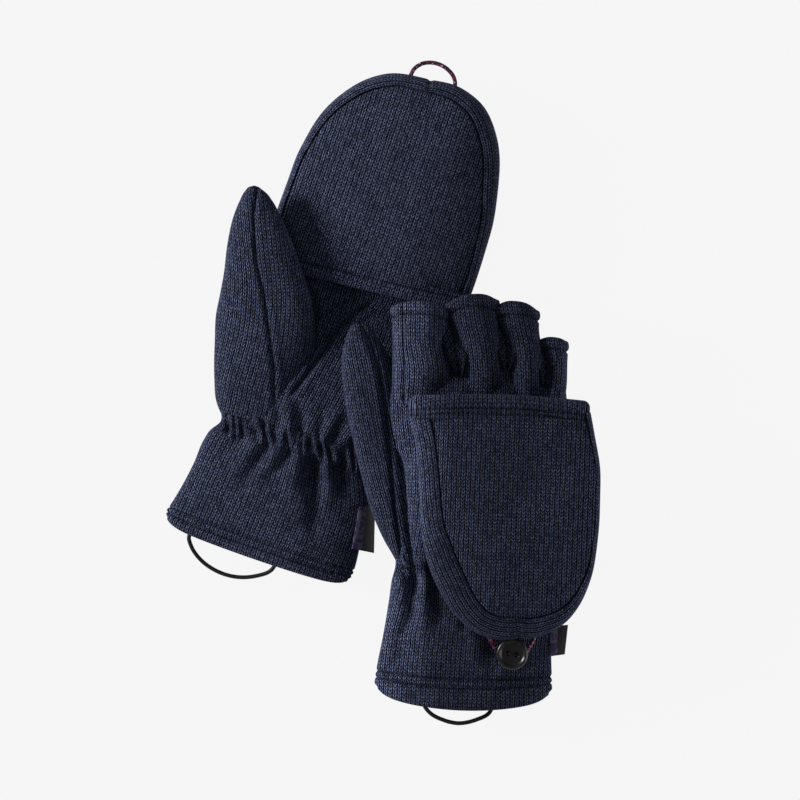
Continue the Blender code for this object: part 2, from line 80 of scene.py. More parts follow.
# A tube's sections: v, centre u, half width, low z, high z.
# finger_ends: how far the end swells in its middle, and how much further its little-finger side goes.
# fourchettes: v, middle u, half width and z of the strips between the fingers, from each crotch outwards.
# cap: u, v, and how far inside the outline the panel's seam runs. cap_mitre: the point where the strips meet.
# cap_hem, its doubled edge: free v, far v, middle u, half width, low z, high z, bow, slope.
# Tones of painted light and shade across each mitten: low u, high u, tone below the first, tone above the
# second, tone at the little finger's side.
# cap_levels: z of the cap's bottom, its middle, its seam, and the top of its dome.
# A fold: its line, its half width, its height. gather: its line, half width, pucker spacing, depth.
# label: base end, tip end, tip start and base start in plan, then z of its tip and of its base.
# button: u, v, z, and whether it faces up. up: whether the cap lies past the fingers (palm up).
LEFT = SimpleNamespace(
    name="left",
    at=(-45.7, -29.2),
    turn=-19.0,
    lift=0.0,
    lean=0.0,
    rise=0.0,
    hand=[
        (-60.6, -1.6, 50.8, 4.4, 18.4), (-58.4, -1.6, 52, 2.8, 20.2), (-54.6, -1.6, 52.2, 2.2, 20.8),
        (-49, -1, 51.4, 1.8, 21), (-40, -0.5, 50, 1.6, 21), (-26, 0, 48.4, 1.4, 20.5),
        (-13, -0.5, 47, 1.4, 19.5), (-7, -1, 45, 1.8, 18.5), (0, -1.5, 40.6, 2.4, 16.2),
        (4, -1.6, 41.8, 2, 17), (12, -1.5, 46.5, 1.2, 19.5), (24, 0, 48.5, 0.8, 21.5),
        (44, 3, 47.5, 0.6, 22.4), (70, 6, 45, 0.6, 21.6), (92, 6, 45, 0.8, 19.6), (103, 6, 43, 2.5, 18.5),
    ],
    bow=1.5,
    hem_lines=(4.6, 8.8),
    thumb=[
        (2, -30, 12, 6, 12), (7, -30, 16.5, 3, 17.5), (21, -31.5, 21.6, 2.5, 22.6),
        (39, -32.6, 26.4, 4, 27.5), (52, -34.4, 28.4, 8, 32.5), (62, -37.2, 27, 12, 35.5),
        (74, -41.2, 24.8, 16.5, 38), (90, -48.6, 20.8, 20, 38.8), (104, -55.2, 15.8, 22, 37.8),
        (113, -59.2, 11.4, 23, 36.4), (119, -62, 7.6, 25, 34.8), (122, -63.6, 4.4, 27, 33),
        (123.4, -64.6, 1.2, 29.2, 31),
    ],
    thumb_seam=[(-20, 2), (-17, 14), (-25, 36), (-33, 52), (-42, 70), (-52, 86), (-61, 108), (-64.5, 124)],
    fingers={
        "index": [(86, -27, 13, 5, 17), (104, -28, 13.2, 4.4, 18), (126, -30, 12.6, 4.4, 18),
                  (146, -31, 12.4, 4.6, 17.8)],
        "middle": [(86, 3, 12, 5, 17), (106, 2, 12.2, 4.4, 18), (128, -3.5, 12.2, 4.4, 18),
                   (150, -5.5, 12.6, 4.6, 17.8)],
        "ring": [(86, 26, 9, 5, 17), (104, 25, 9, 4.4, 18), (124, 20, 9.4, 4.4, 18),
                 (144.5, 18.5, 9.8, 4.6, 17.8)],
        "little": [(86, 41, 7, 5, 17), (102, 42, 6.6, 4.4, 18), (114, 40.2, 6.8, 4.4, 18),
                   (128, 39.4, 7, 4.6, 17.8)],
    },
    finger_ends={"index": (3, 0), "middle": (3, 0), "ring": (3, 0), "little": (2, 0)},
    fourchettes={
        "index_middle": [(103, -10.6, 0.8, 16), (108, -11.2, 2.4, 14), (124, -15, 4, 12),
                         (144, -18, 3, 12)],
        "middle_ring": [(106, 14.8, 0.8, 16), (110, 14.4, 2.4, 14), (124, 11, 4, 12), (142, 8.4, 3, 12)],
        "ring_little": [(102, 34.6, 0.8, 16), (106, 34.4, 2, 14), (114, 32.2, 3, 12), (126, 31, 2.4, 12)],
    },
    cap=[
        (-50, 92, 3), (-50.5, 110, 3), (-50, 132, 3), (-49.2, 151, 3.6), (-39.6, 182, 5.2),
        (-18.8, 202.4, 6.6), (4, 207, 6.6), (20, 208, 7.4), (34, 203.5, 8.4), (47, 190, 8.8),
        (56, 168, 8.2), (60.4, 144, 6.4), (61.6, 122, 5), (61.6, 106, 4.4), (60.6, 95, 4.2),
    ],
    cap_mitre=6,
    cap_hem=(90.2, 99.8, 5.2, 54.6, 17.0, 27.4, -0.6, 5.4),
    cap_hem_lines=(7.0,),
    cap_tilt=0.06,
    cap_droop=0.0,
    # Painted light and shade across this mitten, lighter on the thumb side.
    side_light_tones=(8, 46, 1.1, 0.70, 0.70),
    cap_levels=(0.8, 12.0, 21.0, 28.0),
    folds=[
        ([(-26, -1), (-32, -9), (-38, -18)], 3, -1.4), ([(-13, -1), (-18, -20), (-22, -34)], 3.2, -1.9),
        ([(-2, -1), (-4.5, -13), (-8, -24)], 2.6, -1.6),
        ([(9, 0), (14, -13), (20, -27), (24, -44)], 4.4, -4), ([(24, 0), (30, -9), (36, -20)], 3.6, -2.2),
        ([(-35, -2), (-41, -9)], 2.6, -1.2), ([(-20, -2), (-26, -18), (-31, -32)], 3.6, 1.2),
        ([(-8, -2), (-13, -18), (-16, -34)], 3.4, 1.5), ([(3, -2), (4, -14), (5, -30)], 3.6, 1.7),
        ([(17, -1), (23, -13), (27, -30)], 3.4, 1.6), ([(-26, 3), (-35, 9), (-41, 14)], 2.6, -1.5),
        ([(-18, 3), (-26, 12), (-33, 19)], 2.4, -1.4), ([(-11, 4), (-15, 14), (-20, 22)], 2.4, -1.5),
        ([(2, 4), (-3, 15), (-8, 25)], 2.6, -1.6), ([(9, 5), (9, 16), (7, 26)], 2.4, -1.2),
        ([(17, 6), (18, 16), (22, 27)], 2.8, -1.7), ([(26, 6), (31, 15), (36, 22)], 2.8, -1.4),
        ([(-22, 3), (-31, 11), (-38, 17)], 2.2, 1.1), ([(-6, 4), (-9, 14), (-14, 26)], 2.4, 1.2),
        ([(13, 5), (14, 16), (15, 28)], 2.6, 1.2), ([(22, 6), (26, 16), (30, 26)], 2.6, 1.1),
    ],
    gather=([(-42, -0.6), (-26, 1), (-2, 2.2), (11, 3), (24, 4), (42, 6)], 2.0, 5.4, 1.15),
    seams=[[(-12, 22), (-9, 31), (-2, 53), (2, 68), (14, 87)]],
    loop=[(-6.6, 204.5, 12), (-6, 209, 12), (-3, 213.2, 12), (3, 215.8, 12), (10.2, 215.2, 12),
          (15.2, 212.2, 12), (17.4, 208.4, 12), (17, 204.5, 12)],
    cuff_cord=[(-37.5, -60, 10), (-38, -64, 10), (-35.5, -68, 9), (-29, -73, 8), (-19, -76.2, 7.5),
               (-8, -76, 7.5), (2, -72.2, 8), (9, -66.4, 9), (10.4, -61, 10)],
    label_flat=(0.0105, 0.027),
    label=((42.0, -19.6), (49.6, -15.2), (57.6, -40.2), (45.6, -41.8), 9.5, 17.6),
    button=(22.0, -44.0, 2.4, False),
    index_seam=None,
    up=True,
)
RIGHT = SimpleNamespace(
    name="right",
    at=(47.7, -94.1),
    turn=-2.0,
    lift=8.7,
    lean=0.121,
    rise=0.0857,
    hand=[
        (-67.2, -2.6, 45.6, 4.6, 18.6), (-65, -2.6, 46.9, 2.8, 20.6), (-61, -2.6, 47, 2.2, 21.5),
        (-49, -2.2, 45.9, 1.8, 21.5), (-39, -1.6, 44.8, 1.6, 21.5), (-17, -0.4, 43.1, 1.6, 20.5),
        (-7, -0.4, 42, 2.4, 19.5), (-1, -1, 40, 3, 18.4), (5, -0.5, 40.4, 2.6, 19),
        (14, 1, 42.5, 1.8, 20.5), (35, 3, 43.5, 1, 22.5), (60, 2.6, 45.8, 0.8, 23),
        (80, 0, 47.6, 0.8, 22.6), (94, -0.6, 47.2, 1.6, 21.4), (106, -0.6, 44.5, 5.5, 17.5),
    ],
    bow=6.4,
    hem_lines=(8.6, 12.4),
    thumb=[
        (-8, -32, 5, 6, 12), (2, -33, 7.4, 4, 15), (14, -36.4, 11.2, 2, 16), (30, -40.5, 14.6, 0.5, 16.5),
        (46, -45, 15.2, -0.5, 16.5), (62, -49.2, 15.4, -1, 16.5), (77, -53, 15.6, -1, 16.4),
        (98, -57.4, 15, -0.8, 16), (110, -60.2, 12.8, 0.4, 15), (118, -62, 9.6, 1.8, 13.8),
        (124, -63.4, 6.2, 3.6, 12.2), (127, -64, 3.6, 5.2, 10.8), (128.2, -64.2, 1, 7.2, 8.8),
    ],
    thumb_seam=[(-37, 2), (-42, 30), (-46, 62), (-49, 83), (-53, 103), (-58, 117), (-64, 128.5)],
    fingers={
        "index": [(78, -30, 12, 8, 20), (90, -29.6, 16.2, 5, 21.6), (104, -29.2, 17, 4, 22.6),
                  (120, -31.9, 14.6, 4, 22.4), (128, -32.2, 14.9, 4.2, 21.8),
                  (135.2, -32.2, 15.8, 3.8, 22)],
        "middle": [(80, 2, 11, 8, 21), (104, 2.2, 12, 4, 23.4), (120, 0, 11.2, 4, 23.4),
                   (130, -3, 12.2, 4.2, 23.2), (139.6, -4.7, 14.2, 3.8, 23.4)],
        "ring": [(80, 26, 8.4, 8, 20.6), (104, 25, 9.4, 4, 22.6), (118, 23.6, 9.1, 4, 22.2),
                 (128, 20.8, 10.2, 4.2, 21.8), (136.8, 18.6, 12.4, 3.8, 22)],
        "little": [(80, 39, 5.6, 8, 19), (100, 40.9, 5.8, 4, 20.2), (111, 41, 5.6, 4, 19.6),
                   (120.8, 39.2, 7.6, 3.8, 19.8)],
    },
    finger_ends={"index": (3.6, -0.6), "middle": (4.0, 1.4), "ring": (3.8, -0.8), "little": (1.4, -0.5)},
    fourchettes={
        "index_middle": [(101, -10.4, 1.2, 19.6), (107, -11.4, 3.6, 20), (120, -13.8, 6.4, 17.4),
                         (130, -16.2, 5.2, 15), (137, -17.4, 3.4, 14)],
        "middle_ring": [(105, 14.8, 1.2, 19.2), (111, 14.6, 3.6, 19.4), (121, 13.4, 6.4, 17.2),
                        (130, 10.2, 5, 15), (137, 8, 3.2, 14)],
        "ring_little": [(97, 35.6, 1.2, 18.2), (103, 35.5, 2.8, 18.2), (112, 35, 4.4, 16),
                        (118, 33.2, 3.6, 14), (121, 32.2, 2.8, 13)],
    },
    cap=[
        (-37.5, 87, 9), (-35, 76, 10), (-31, 56, 10.4), (-29, 33, 11.4), (-27.6, 17, 13), (-23.6, 2, 15),
        (-17, -12.4, 15.4), (-8, -25.4, 14), (4, -34.4, 12.4), (15, -37.2, 12), (26, -36.6, 11),
        (36.4, -34.8, 9.8), (48, -29, 8), (57.4, -17.4, 5), (63, -4, 3.4), (65.6, 12, 2.2), (66.6, 34, 1.8),
        (65.8, 56, 1.8), (62.2, 74, 1.8), (59.8, 85, 1.8),
    ],
    cap_mitre=10,
    cap_hem=(90.6, 78.6, 11.6, 47.8, 29.0, 41.6, 2.0, 0.2),
    cap_hem_lines=(7.6, 10.4),
    cap_tilt=0.0,
    cap_droop=2.4,
    # Painted light and shade across this mitten, lighter on the thumb side and again at the little finger's
    # side.
    side_light_tones=(-34, -12, 1.6, 0.72, 1.08),
    cap_levels=(24.6, 31.6, 37.4, 43.2),
    folds=[
        ([(-41, 62), (-39, 45), (-37, 24), (-33, 5), (-30, -8), (-29, -16)], 2.6, -4.6),
        ([(-31, 62), (-30, 35), (-27, 8)], 3.6, 2.6),
        ([(-30, -3), (-32, -25), (-37, -39), (-38, -56)], 3, -2.4),
        ([(-25, -2), (-25, -30), (-27, -52)], 4, 2), ([(-22, 4), (-19.5, -16), (-16, -34)], 3, -2.2),
        ([(-38, -2), (-39, -20), (-41, -36)], 3.4, 1.8), ([(-12, -8), (-9, -22), (-6, -38)], 3.4, 1.4),
        ([(0, -30), (2, -40), (3, -54)], 3.6, 1), ([(10, -38), (12, -50), (12, -62)], 3, -0.8),
        ([(38, -34), (38, -48), (36, -60)], 3.2, -1),
    ],
    gather=([(-41, -1), (-28, -2), (-10, -3), (20, -3), (40, -2)], 3.0, 9.0, 0.7),
    seams=[],
    loop=[(9.4, -31, 33), (10.6, -36.5, 27), (13.2, -41, 23.6), (16.4, -45.2, 23), (20.4, -48, 23),
          (24.4, -48.2, 23), (28.4, -45.4, 23), (31.4, -41, 23.6), (33.6, -36.5, 27), (34.4, -31, 33)],
    cuff_cord=[(-22.5, -68, 10), (-23, -73, 10), (-19.5, -77.4, 9), (-13, -80.6, 8.5), (-5, -82.2, 8.5),
               (5, -80, 8.5), (11.6, -76.2, 9), (14, -71, 10)],
    label_flat=(0.010, 0.014),
    label=((41.5, -29.4), (51.8, -28.0), (50.6, -43.8), (43.5, -45.0), 12.5, 15.5),
    button=(22.8, -44.6, 26.2, True),
    index_seam=-0.6,
    up=False,
)

# Lengths are in mm unless a comment says otherwise.
FOLD = 1.3  # how strongly the cuffs' folds stand out
AROUND = 320  # points round a tube
TURN = np.linspace(0, 2 * math.pi, AROUND, endpoint=False)
WALL = 2.6  # thickness of the knit
RIM = 1.9  # how far a rolled rim stands out
ROW_STEP = 0.75  # between rows of a fabric tube
FINGER_STEP = 0.5
FOURCHETTE_STEP = 0.4
# How square a tube's section is: 2 is an ellipse
HAND_SQUARE, THUMB_SQUARE, FINGER_SQUARE, ELASTIC_SQUARE = 2.5, 2.15, 2.1, 2.2
NEEDLE_WIDE = 0.75  # half width of a line of hem stitching
STITCH_LONG = 3.2
HEM_CLIMB = 1.2  # how far the cap's strips rise where they pass under its hem
HEM_ROUND = 2.4  # depth over which the cap hem's free edge rounds over
HEM_CORNER = 3.6  # radius of the cap hem's corners
CORD = 2.2  # diameter
CORD_POINTS = 60
THREAD_RADIUS = 0.00045  # m
BUTTON_RADIUS = 8.4
BUTTON_POINTS = 96  # round its rim
HOLE_RADIUS = 1.25
BUTTON_TILT = 0.10
LABEL_POINTS = 24  # along each side of a label
LABEL_HALF = 0.45  # half its thickness
# Where the right mitten's pieces would press to as its cap closes, and how much of their thickness would
# stay.
# The cap's level is far off, so the cap moves as a whole, down on to the back of the hand.
STUBS_GIVE = (19, 0.52)
CAP_GIVE = (185, 0.95)

# Helpers --------------------------------------------------------------------------------------------


def place(side, points):
    """Plan points (..., 3) in mm to the row frame in metres, sized as the camera sees them."""
    p = np.asarray(points, float)
    a = math.radians(side.turn)
    x = side.at[0] + p[..., 0] * math.cos(a) - p[..., 1] * math.sin(a)
    y = side.at[1] + p[..., 0] * math.sin(a) + p[..., 1] * math.cos(a)
    z = side.lift - side.lean * p[..., 0] + side.rise * p[..., 1] + p[..., 2]
    shrink = 1 - (z - TRUE_LEVEL) / (1000 * EYE_HEIGHT - TRUE_LEVEL)
    cx, cy = VIEW_CENTRE[0] * 1000, VIEW_CENTRE[1] * 1000
    return np.stack([cx + (x - cx) * shrink, cy + (y - cy) * shrink, z], -1) / 1000


def along(stations, where):
    """Stations (first column is the place) read at places, through a smooth curve."""
    s = np.asarray(stations, float)
    t, values = s[:, 0], s[:, 1:]
    step = np.diff(t)
    slope = np.diff(values, axis=0) / step[:, None]
    tangent = np.vstack([slope[:1], (slope[1:] * step[:-1, None] + slope[:-1] * step[1:, None])
                         / (step[1:] + step[:-1])[:, None], slope[-1:]])
    k = np.clip(np.searchsorted(t, where, side="right") - 1, 0, len(t) - 2)
    h = step[k][:, None]
    x = ((where - t[k]) / step[k])[:, None]
    a, b, m, n = values[k], values[k + 1], tangent[k] * h, tangent[k + 1] * h
    ends = (2 * x**3 - 3 * x**2 + 1) * a + (3 * x**2 - 2 * x**3) * b
    return ends + (x**3 - 2 * x**2 + x) * m + (x**3 - x**2) * n


def through(route, count):
    """count points evenly spread along a smooth curve through a route."""
    r = np.asarray(route, float)
    run = np.concatenate([[0], np.cumsum(np.linalg.norm(np.diff(r[:, :2], axis=0), axis=1))])
    fine = along(np.column_stack([run, r]), np.linspace(0, run[-1], 2000))
    length = np.concatenate([[0], np.cumsum(np.linalg.norm(np.diff(fine[:, :2], axis=0), axis=1))])
    want = np.linspace(0, length[-1], count)
    return np.column_stack([np.interp(want, length, fine[:, k]) for k in range(fine.shape[1])])


def from_line(points, line):
    """Distance of each point (n, 2) from a polyline, and how far along it the nearest spot is, 0 to 1."""
    line = np.asarray(line, float)
    lengths = np.linalg.norm(np.diff(line, axis=0), axis=1)
    start = np.concatenate([[0], np.cumsum(lengths)])
    best, share = np.full(len(points), 1e9), np.zeros(len(points))
    for k in range(len(line) - 1):
        a, b = line[k], line[k + 1]
        t = np.clip(((points - a) @ (b - a)) / ((b - a) @ (b - a)), 0, 1)
        d = np.linalg.norm(points - a - t[:, None] * (b - a), axis=1)
        near = d < best
        best[near] = d[near]
        share[near] = ((start[k] + t * lengths[k]) / start[-1])[near]
    return best, share


def ridge(distance, wide):
    """1 on a line, falling softly to nothing at about twice the width from it."""
    return np.exp(-((distance / wide) ** 2))


def shut(rows):
    """Each row of points with its first point repeated at its end."""
    return np.concatenate([rows, rows[:, :1]], 1)


def soft_noise(u, v, scale, seed):
    """A smooth irregular field, about -1 to 1."""
    total = np.zeros_like(u)
    rng = np.random.default_rng(seed)
    for _ in range(7):
        angle, phase, size = rng.uniform(0, math.pi), rng.uniform(0, 6.28), scale * rng.uniform(0.6, 1.5)
        total += np.sin((u * math.cos(angle) + v * math.sin(angle)) * 6.28 / size + phase)
    return total / 3.5


def painted_side_light(side, points):
    """Painted light and shade across a mitten: a deeper tone away from the thumb side, another at the far
    side.
    """
    low, high, bright, deep, far = side.side_light_tones
    t = np.clip((points[..., 0] - low) / (high - low), 0, 1)
    edge = np.clip((points[..., 0] - 24) / 24, 0, 1)
    return bright + (deep - bright) * t * t * (3 - 2 * t) + (far - deep) * edge * edge


def add_piece(name, points, faces, look, body, uv=None, shade=None, smooth=True):
    name = f"shown_{name}"
    mesh = bpy.data.meshes.new(name)
    mesh.from_pydata(points.tolist(), [], faces.tolist() if isinstance(faces, np.ndarray) else faces)
    if uv is not None:
        layer = mesh.uv_layers.new(name="UVMap")
        layer.data.foreach_set("uv", np.asarray(uv, np.float32).ravel())
    values = np.ones(len(points)) if shade is None else shade
    attribute = mesh.attributes.new("shade", "FLOAT", "POINT")
    attribute.data.foreach_set("value", np.asarray(values, np.float32).ravel())
    mesh.polygons.foreach_set("use_smooth", np.full(len(mesh.polygons), smooth))
    mesh.materials.append(look)
    obj = bpy.data.objects.new(name, mesh)
    bpy.context.scene.collection.objects.link(obj)
    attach(obj, body)
    return obj


def ring_faces(rows, cols, around_rows):
    """Quads of a grid closed across its columns, and across its rows if asked, in ring_uv's corner order."""
    r = np.arange(rows if around_rows else rows - 1)
    c = np.arange(cols)
    a, b = np.meshgrid(r, c, indexing="ij")
    a2, b2 = (a + 1) % rows, (b + 1) % cols
    return np.stack([a * cols + b, a * cols + b2, a2 * cols + b2, a2 * cols + b], -1).reshape(-1, 4)


def ring_uv(uv, around_rows):
    """uv (rows, cols + 1, 2) to one value per face corner."""
    rows, cols = uv.shape[0], uv.shape[1] - 1
    r = np.arange(rows if around_rows else rows - 1)
    a, b = np.meshgrid(r, np.arange(cols), indexing="ij")
    a2 = (a + 1) % rows
    return np.stack([uv[a, b], uv[a, b + 1], uv[a2, b + 1], uv[a2, b]], -2).reshape(-1, 2)


def closed_loft(name, side, loop, wool, shade, look, body):
    """A solid from closed rings (rows, cols, 3) with a flat face at each end, faces turned outwards."""
    rows, cols = loop.shape[:2]
    points = place(side, loop).reshape(-1, 3)
    faces, uv = ring_faces(rows, cols, False), ring_uv(wool, False)
    a, b, c, d = (points[faces[:, k]] - points.mean(0) for k in range(4))
    volume = (np.cross(a, b) * c).sum() + (np.cross(a, c) * d).sum()
    end = (rows - 1) * cols
    faces = faces.tolist() + [list(range(cols))[::-1], list(range(end, end + cols))]
    uv = np.concatenate([uv, wool[0, :cols][::-1], wool[-1, :cols]])
    if volume < 0:
        faces = [face[::-1] for face in faces]
        uv = np.concatenate([uv[: -2 * cols].reshape(-1, 4, 2)[:, ::-1].reshape(-1, 2), wool[0, :cols],
                             wool[-1, :cols][::-1]])
    # The shade attribute: painted shade, times the painted light and shade across the mitten.
    return add_piece(f"{side.name}_{name}", points, faces, look, f"{side.name}_{body}", uv,
                     (np.broadcast_to(shade, (rows, cols)) * painted_side_light(side, loop)).ravel())


def section_rings(stations, v, square):
    """Rings (rows, AROUND, 3) of a tube, starting at its right side and going over the top."""
    s = along(stations, v)
    centre, wide, low, high = (s[:, k][:, None] for k in range(4))
    c, d = np.cos(TURN)[None], np.sin(TURN)[None]
    u = centre + wide * np.sign(c) * np.abs(c) ** (2 / square)
    z = (low + high) / 2 + (high - low) / 2 * np.sign(d) * np.abs(d) ** (2 / square)
    return np.stack([u, np.broadcast_to(v[:, None], u.shape), z], -1)


def inwards(rings):
    """The inward direction of each ring point, in its own plane."""
    way = np.roll(rings, -1, 1) - np.roll(rings, 1, 1)
    normal = np.stack([-way[..., 2], np.zeros(way.shape[:2]), way[..., 0]], -1)
    normal /= np.maximum(np.linalg.norm(normal, axis=-1, keepdims=True), 1e-9)
    return normal


def ring_wool(rings):
    """Knit coordinates (rows, AROUND + 1, 2) in mm: across from the top or bottom middle, and along v."""
    closed = shut(rings)
    step = np.linalg.norm(np.diff(closed[..., [0, 2]], axis=1), axis=-1)
    run = np.concatenate([np.zeros((len(rings), 1)), np.cumsum(step, 1)], 1)
    top = run[:, AROUND // 4][:, None]
    return np.stack([run - top + 500, closed[..., 1] + 500], -1)


def walled_tube(name, side, rings, look, body, shade, mouth_low, mouth_high):
    """A closed fabric tube with thickness: outer rings, a rolled rim, inner rings, and a rim again."""
    into = inwards(rings)
    wool = ring_wool(rings)
    outer, parts, wools, shades = rings, [rings], [wool], [shade]
    inner = rings + into * WALL

    def rim(index, ahead):
        for angle in (45, 90, 135):
            a = math.radians(angle)
            ring = outer[index] + into[index] * WALL / 2 * (1 - math.cos(a))
            ring[:, 1] += ahead * RIM * math.sin(a)
            parts.append(ring[None])
            moved = wool[index].copy()
            moved[:, 1] += ahead * (RIM * a)
            wools.append(moved[None])
            # Painted shade: the rolled rim a little darker.
            shades.append(shade[index][None] * 0.9)

    if mouth_high:
        rim(-1, 1)
    parts.append(inner[::-1])
    wools.append(wool[::-1])
    # Painted shade: the inside of the tube darker.
    shades.append(shade[::-1] * 0.7)
    if mouth_low:
        start = len(parts)
        rim(0, -1)
        for stack in (parts, wools, shades):
            stack[start:] = stack[start:][::-1]
    points = np.concatenate(parts)
    rows, cols = points.shape[:2]
    faces = ring_faces(rows, cols, True)[:, ::-1]
    uv = ring_uv(np.concatenate(wools), True).reshape(-1, 4, 2)[:, ::-1].reshape(-1, 2)
    # Painted shade, times the painted light and shade across the mitten.
    tone = (np.concatenate(shades) * painted_side_light(side, points)).ravel()
    return add_piece(f"{side.name}_{name}", place(side, points).reshape(-1, 3), faces, look, body, uv, tone)


# Materials ------------------------------------------------------------------------------------------


class Graph:
    """Short forms for building a material's nodes."""

    def __init__(self, name):
        self.material = bpy.data.materials.new(name)
        self.material.use_nodes = True
        self.tree = self.material.node_tree
        self.shader = self.tree.nodes["Principled BSDF"]

    def node(self, kind, **settings):
        made = self.tree.nodes.new(kind)
        for key, value in settings.items():
            setattr(made, key, value)
        return made

    def feed(self, socket, value):
        if isinstance(value, bpy.types.NodeSocket):
            self.tree.links.new(value, socket)
        else:
            socket.default_value = value

    def maths(self, operation, *values):
        made = self.node("ShaderNodeMath", operation=operation)
        for socket, value in zip(made.inputs, values):
            self.feed(socket, value)
        return made.outputs[0]

    def mix(self, share, a, b):
        made = self.node("ShaderNodeMix", data_type="RGBA")
        self.feed(made.inputs[0], share)
        self.feed(made.inputs[6], a)
        self.feed(made.inputs[7], b)
        return made.outputs[2]

    def scaled(self, colour, by):
        made = self.node("ShaderNodeMix", data_type="RGBA", blend_type="MULTIPLY")
        made.inputs[0].default_value = 1
        self.feed(made.inputs[6], colour)
        grey = self.node("ShaderNodeCombineColor")
        for socket in grey.inputs:
            self.feed(socket, by)
        self.feed(made.inputs[7], grey.outputs[0])
        return made.outputs[2]

    def spread(self, value, low, high, to_low=0.0, to_high=1.0):
        made = self.node("ShaderNodeMapRange")
        made.clamp = True
        for socket, item in zip(made.inputs, (value, low, high, to_low, to_high)):
            self.feed(socket, item)
        return made.outputs[0]

    def noise(self, vector, scale, detail=2.0):
        made = self.node("ShaderNodeTexNoise")
        made.inputs["Scale"].default_value = scale
        made.inputs["Detail"].default_value = detail
        if vector is not None:
            self.feed(made.inputs["Vector"], vector)
        return made.outputs["Fac"]

    def finish(self, colour, height, distance, strength, roughness):
        self.feed(self.shader.inputs["Base Color"], colour)
        self.feed(self.shader.inputs["Roughness"], roughness)
        if height is not None:
            bump = self.node("ShaderNodeBump")
            bump.inputs["Strength"].default_value = strength
            bump.inputs["Distance"].default_value = distance
            self.feed(bump.inputs["Height"], height)
            self.tree.links.new(bump.outputs[0], self.shader.inputs["Normal"])
        return self.material


WALE, COURSE = 2.5, 1.9  # mm, one column and one row of stitches
DARK = (0.0044, 0.0062, 0.0175, 1)
LIGHT = (0.079, 0.0925, 0.157, 1)


def knit_material(name):
    """Heathered stocking stitch: two leaning legs to a stitch, each of its own tone, soft fuzz, painted shade
    in the gaps.
    """
    g = Graph(name)
    uv = g.node("ShaderNodeUVMap", uv_map="UVMap").outputs[0]
    split = g.node("ShaderNodeSeparateXYZ")
    g.feed(split.inputs[0], uv)
    wobble = g.maths("MULTIPLY", g.maths("SUBTRACT", g.noise(uv, 0.16, 3.0), 0.5), 1.1)
    x = g.maths("DIVIDE", g.maths("ADD", split.outputs[0], wobble), WALE)
    y = g.maths("DIVIDE", g.maths("ADD", split.outputs[1], wobble), COURSE)
    in_wale = g.maths("FRACT", x)
    out = g.maths("MULTIPLY", g.maths("ABSOLUTE", g.maths("SUBTRACT", in_wale, 0.5)), 2.0)
    leg = g.maths("FRACT", g.maths("MULTIPLY", x, 2.0))
    rising = g.maths("SUBTRACT", y, g.maths("MULTIPLY", out, 0.95))
    step = g.maths("FRACT", rising)
    across = g.maths("POWER", g.maths("SINE", g.maths("MULTIPLY", leg, math.pi)), 0.9)
    lengthways = g.maths("POWER", g.maths("SINE", g.maths("MULTIPLY", step, math.pi)), 1.0)
    between = g.maths("MULTIPLY_ADD", g.maths("POWER", out, 3.0), -0.88, 1.0)
    lengthways = g.maths("MULTIPLY_ADD", lengthways, 0.88, 0.12)
    height = g.maths("MULTIPLY", g.maths("MULTIPLY", across, between), lengthways)
    cell = g.node("ShaderNodeCombineXYZ")
    g.feed(cell.inputs[0], g.maths("FLOOR", g.maths("MULTIPLY", x, 2.0)))
    g.feed(cell.inputs[1], g.maths("FLOOR", rising))
    own = g.node("ShaderNodeTexWhiteNoise", noise_dimensions="3D")
    g.feed(own.inputs["Vector"], cell.outputs[0])
    fibre = g.noise(uv, 1.7, 3.0)
    cloud = g.noise(uv, 0.07, 2.0)
    tone = g.maths("ADD", g.maths("MULTIPLY", own.outputs["Value"], 0.34), g.maths("MULTIPLY", fibre, 0.80))
    tone = g.maths("ADD", tone, g.maths("MULTIPLY", g.maths("SUBTRACT", cloud, 0.5), 0.15))
    colour = g.mix(g.spread(tone, 0.22, 0.92), DARK, LIGHT)
    shade = g.node("ShaderNodeAttribute", attribute_name="shade").outputs["Fac"]
    # Painted shade: the colour darkens in the gaps between stitches and is multiplied by the shade attribute.
    colour = g.scaled(colour, g.maths("MULTIPLY", g.spread(height, 0.13, 0.76, 0.0, 2.25), shade))
    g.shader.inputs["Sheen Weight"].default_value = 0.06
    g.shader.inputs["Sheen Roughness"].default_value = 0.5
    g.shader.inputs["Sheen Tint"].default_value = (0.55, 0.62, 1.0, 1)
    g.shader.inputs["Specular IOR Level"].default_value = 0.08
    fuzz = g.maths("MULTIPLY_ADD", fibre, 0.35, height)
    return g.finish(colour, fuzz, 0.0009, 0.75, 0.95)


def cord_material(name, base, flecks):
    """Braided cord: base yarn with flecks of other colours in small slanted bars."""
    g = Graph(name)
    where = g.node("ShaderNodeTexCoord").outputs["Object"]
    weave = g.node("ShaderNodeTexVoronoi")
    weave.inputs["Scale"].default_value = 1300
    g.feed(weave.inputs["Vector"], where)
    colour = base
    pick = g.node("ShaderNodeSeparateColor")
    g.feed(pick.inputs[0], weave.outputs["Color"])
    for share, fleck, channel in flecks:
        colour = g.mix(g.spread(pick.outputs[channel], 1 - share, 1 - share + 0.02), colour, fleck)
    g.shader.inputs["Specular IOR Level"].default_value = 0.25
    return g.finish(colour, weave.outputs["Distance"], 0.0003, 0.6, 0.75)


def plain_material(name, colour, roughness, specular=0.5, grain=0.0):
    g = Graph(name)
    g.shader.inputs["Specular IOR Level"].default_value = specular
    where = g.node("ShaderNodeTexCoord").outputs["Object"]
    cloud = g.noise(where, 900, 3.0)
    shown = g.scaled(colour, g.spread(cloud, 0.3, 0.7, 1 - grain, 1 + grain))
    return g.finish(shown, cloud, 0.00005, 0.4, g.spread(cloud, 0.3, 0.7, roughness - 0.04, roughness + 0.06))


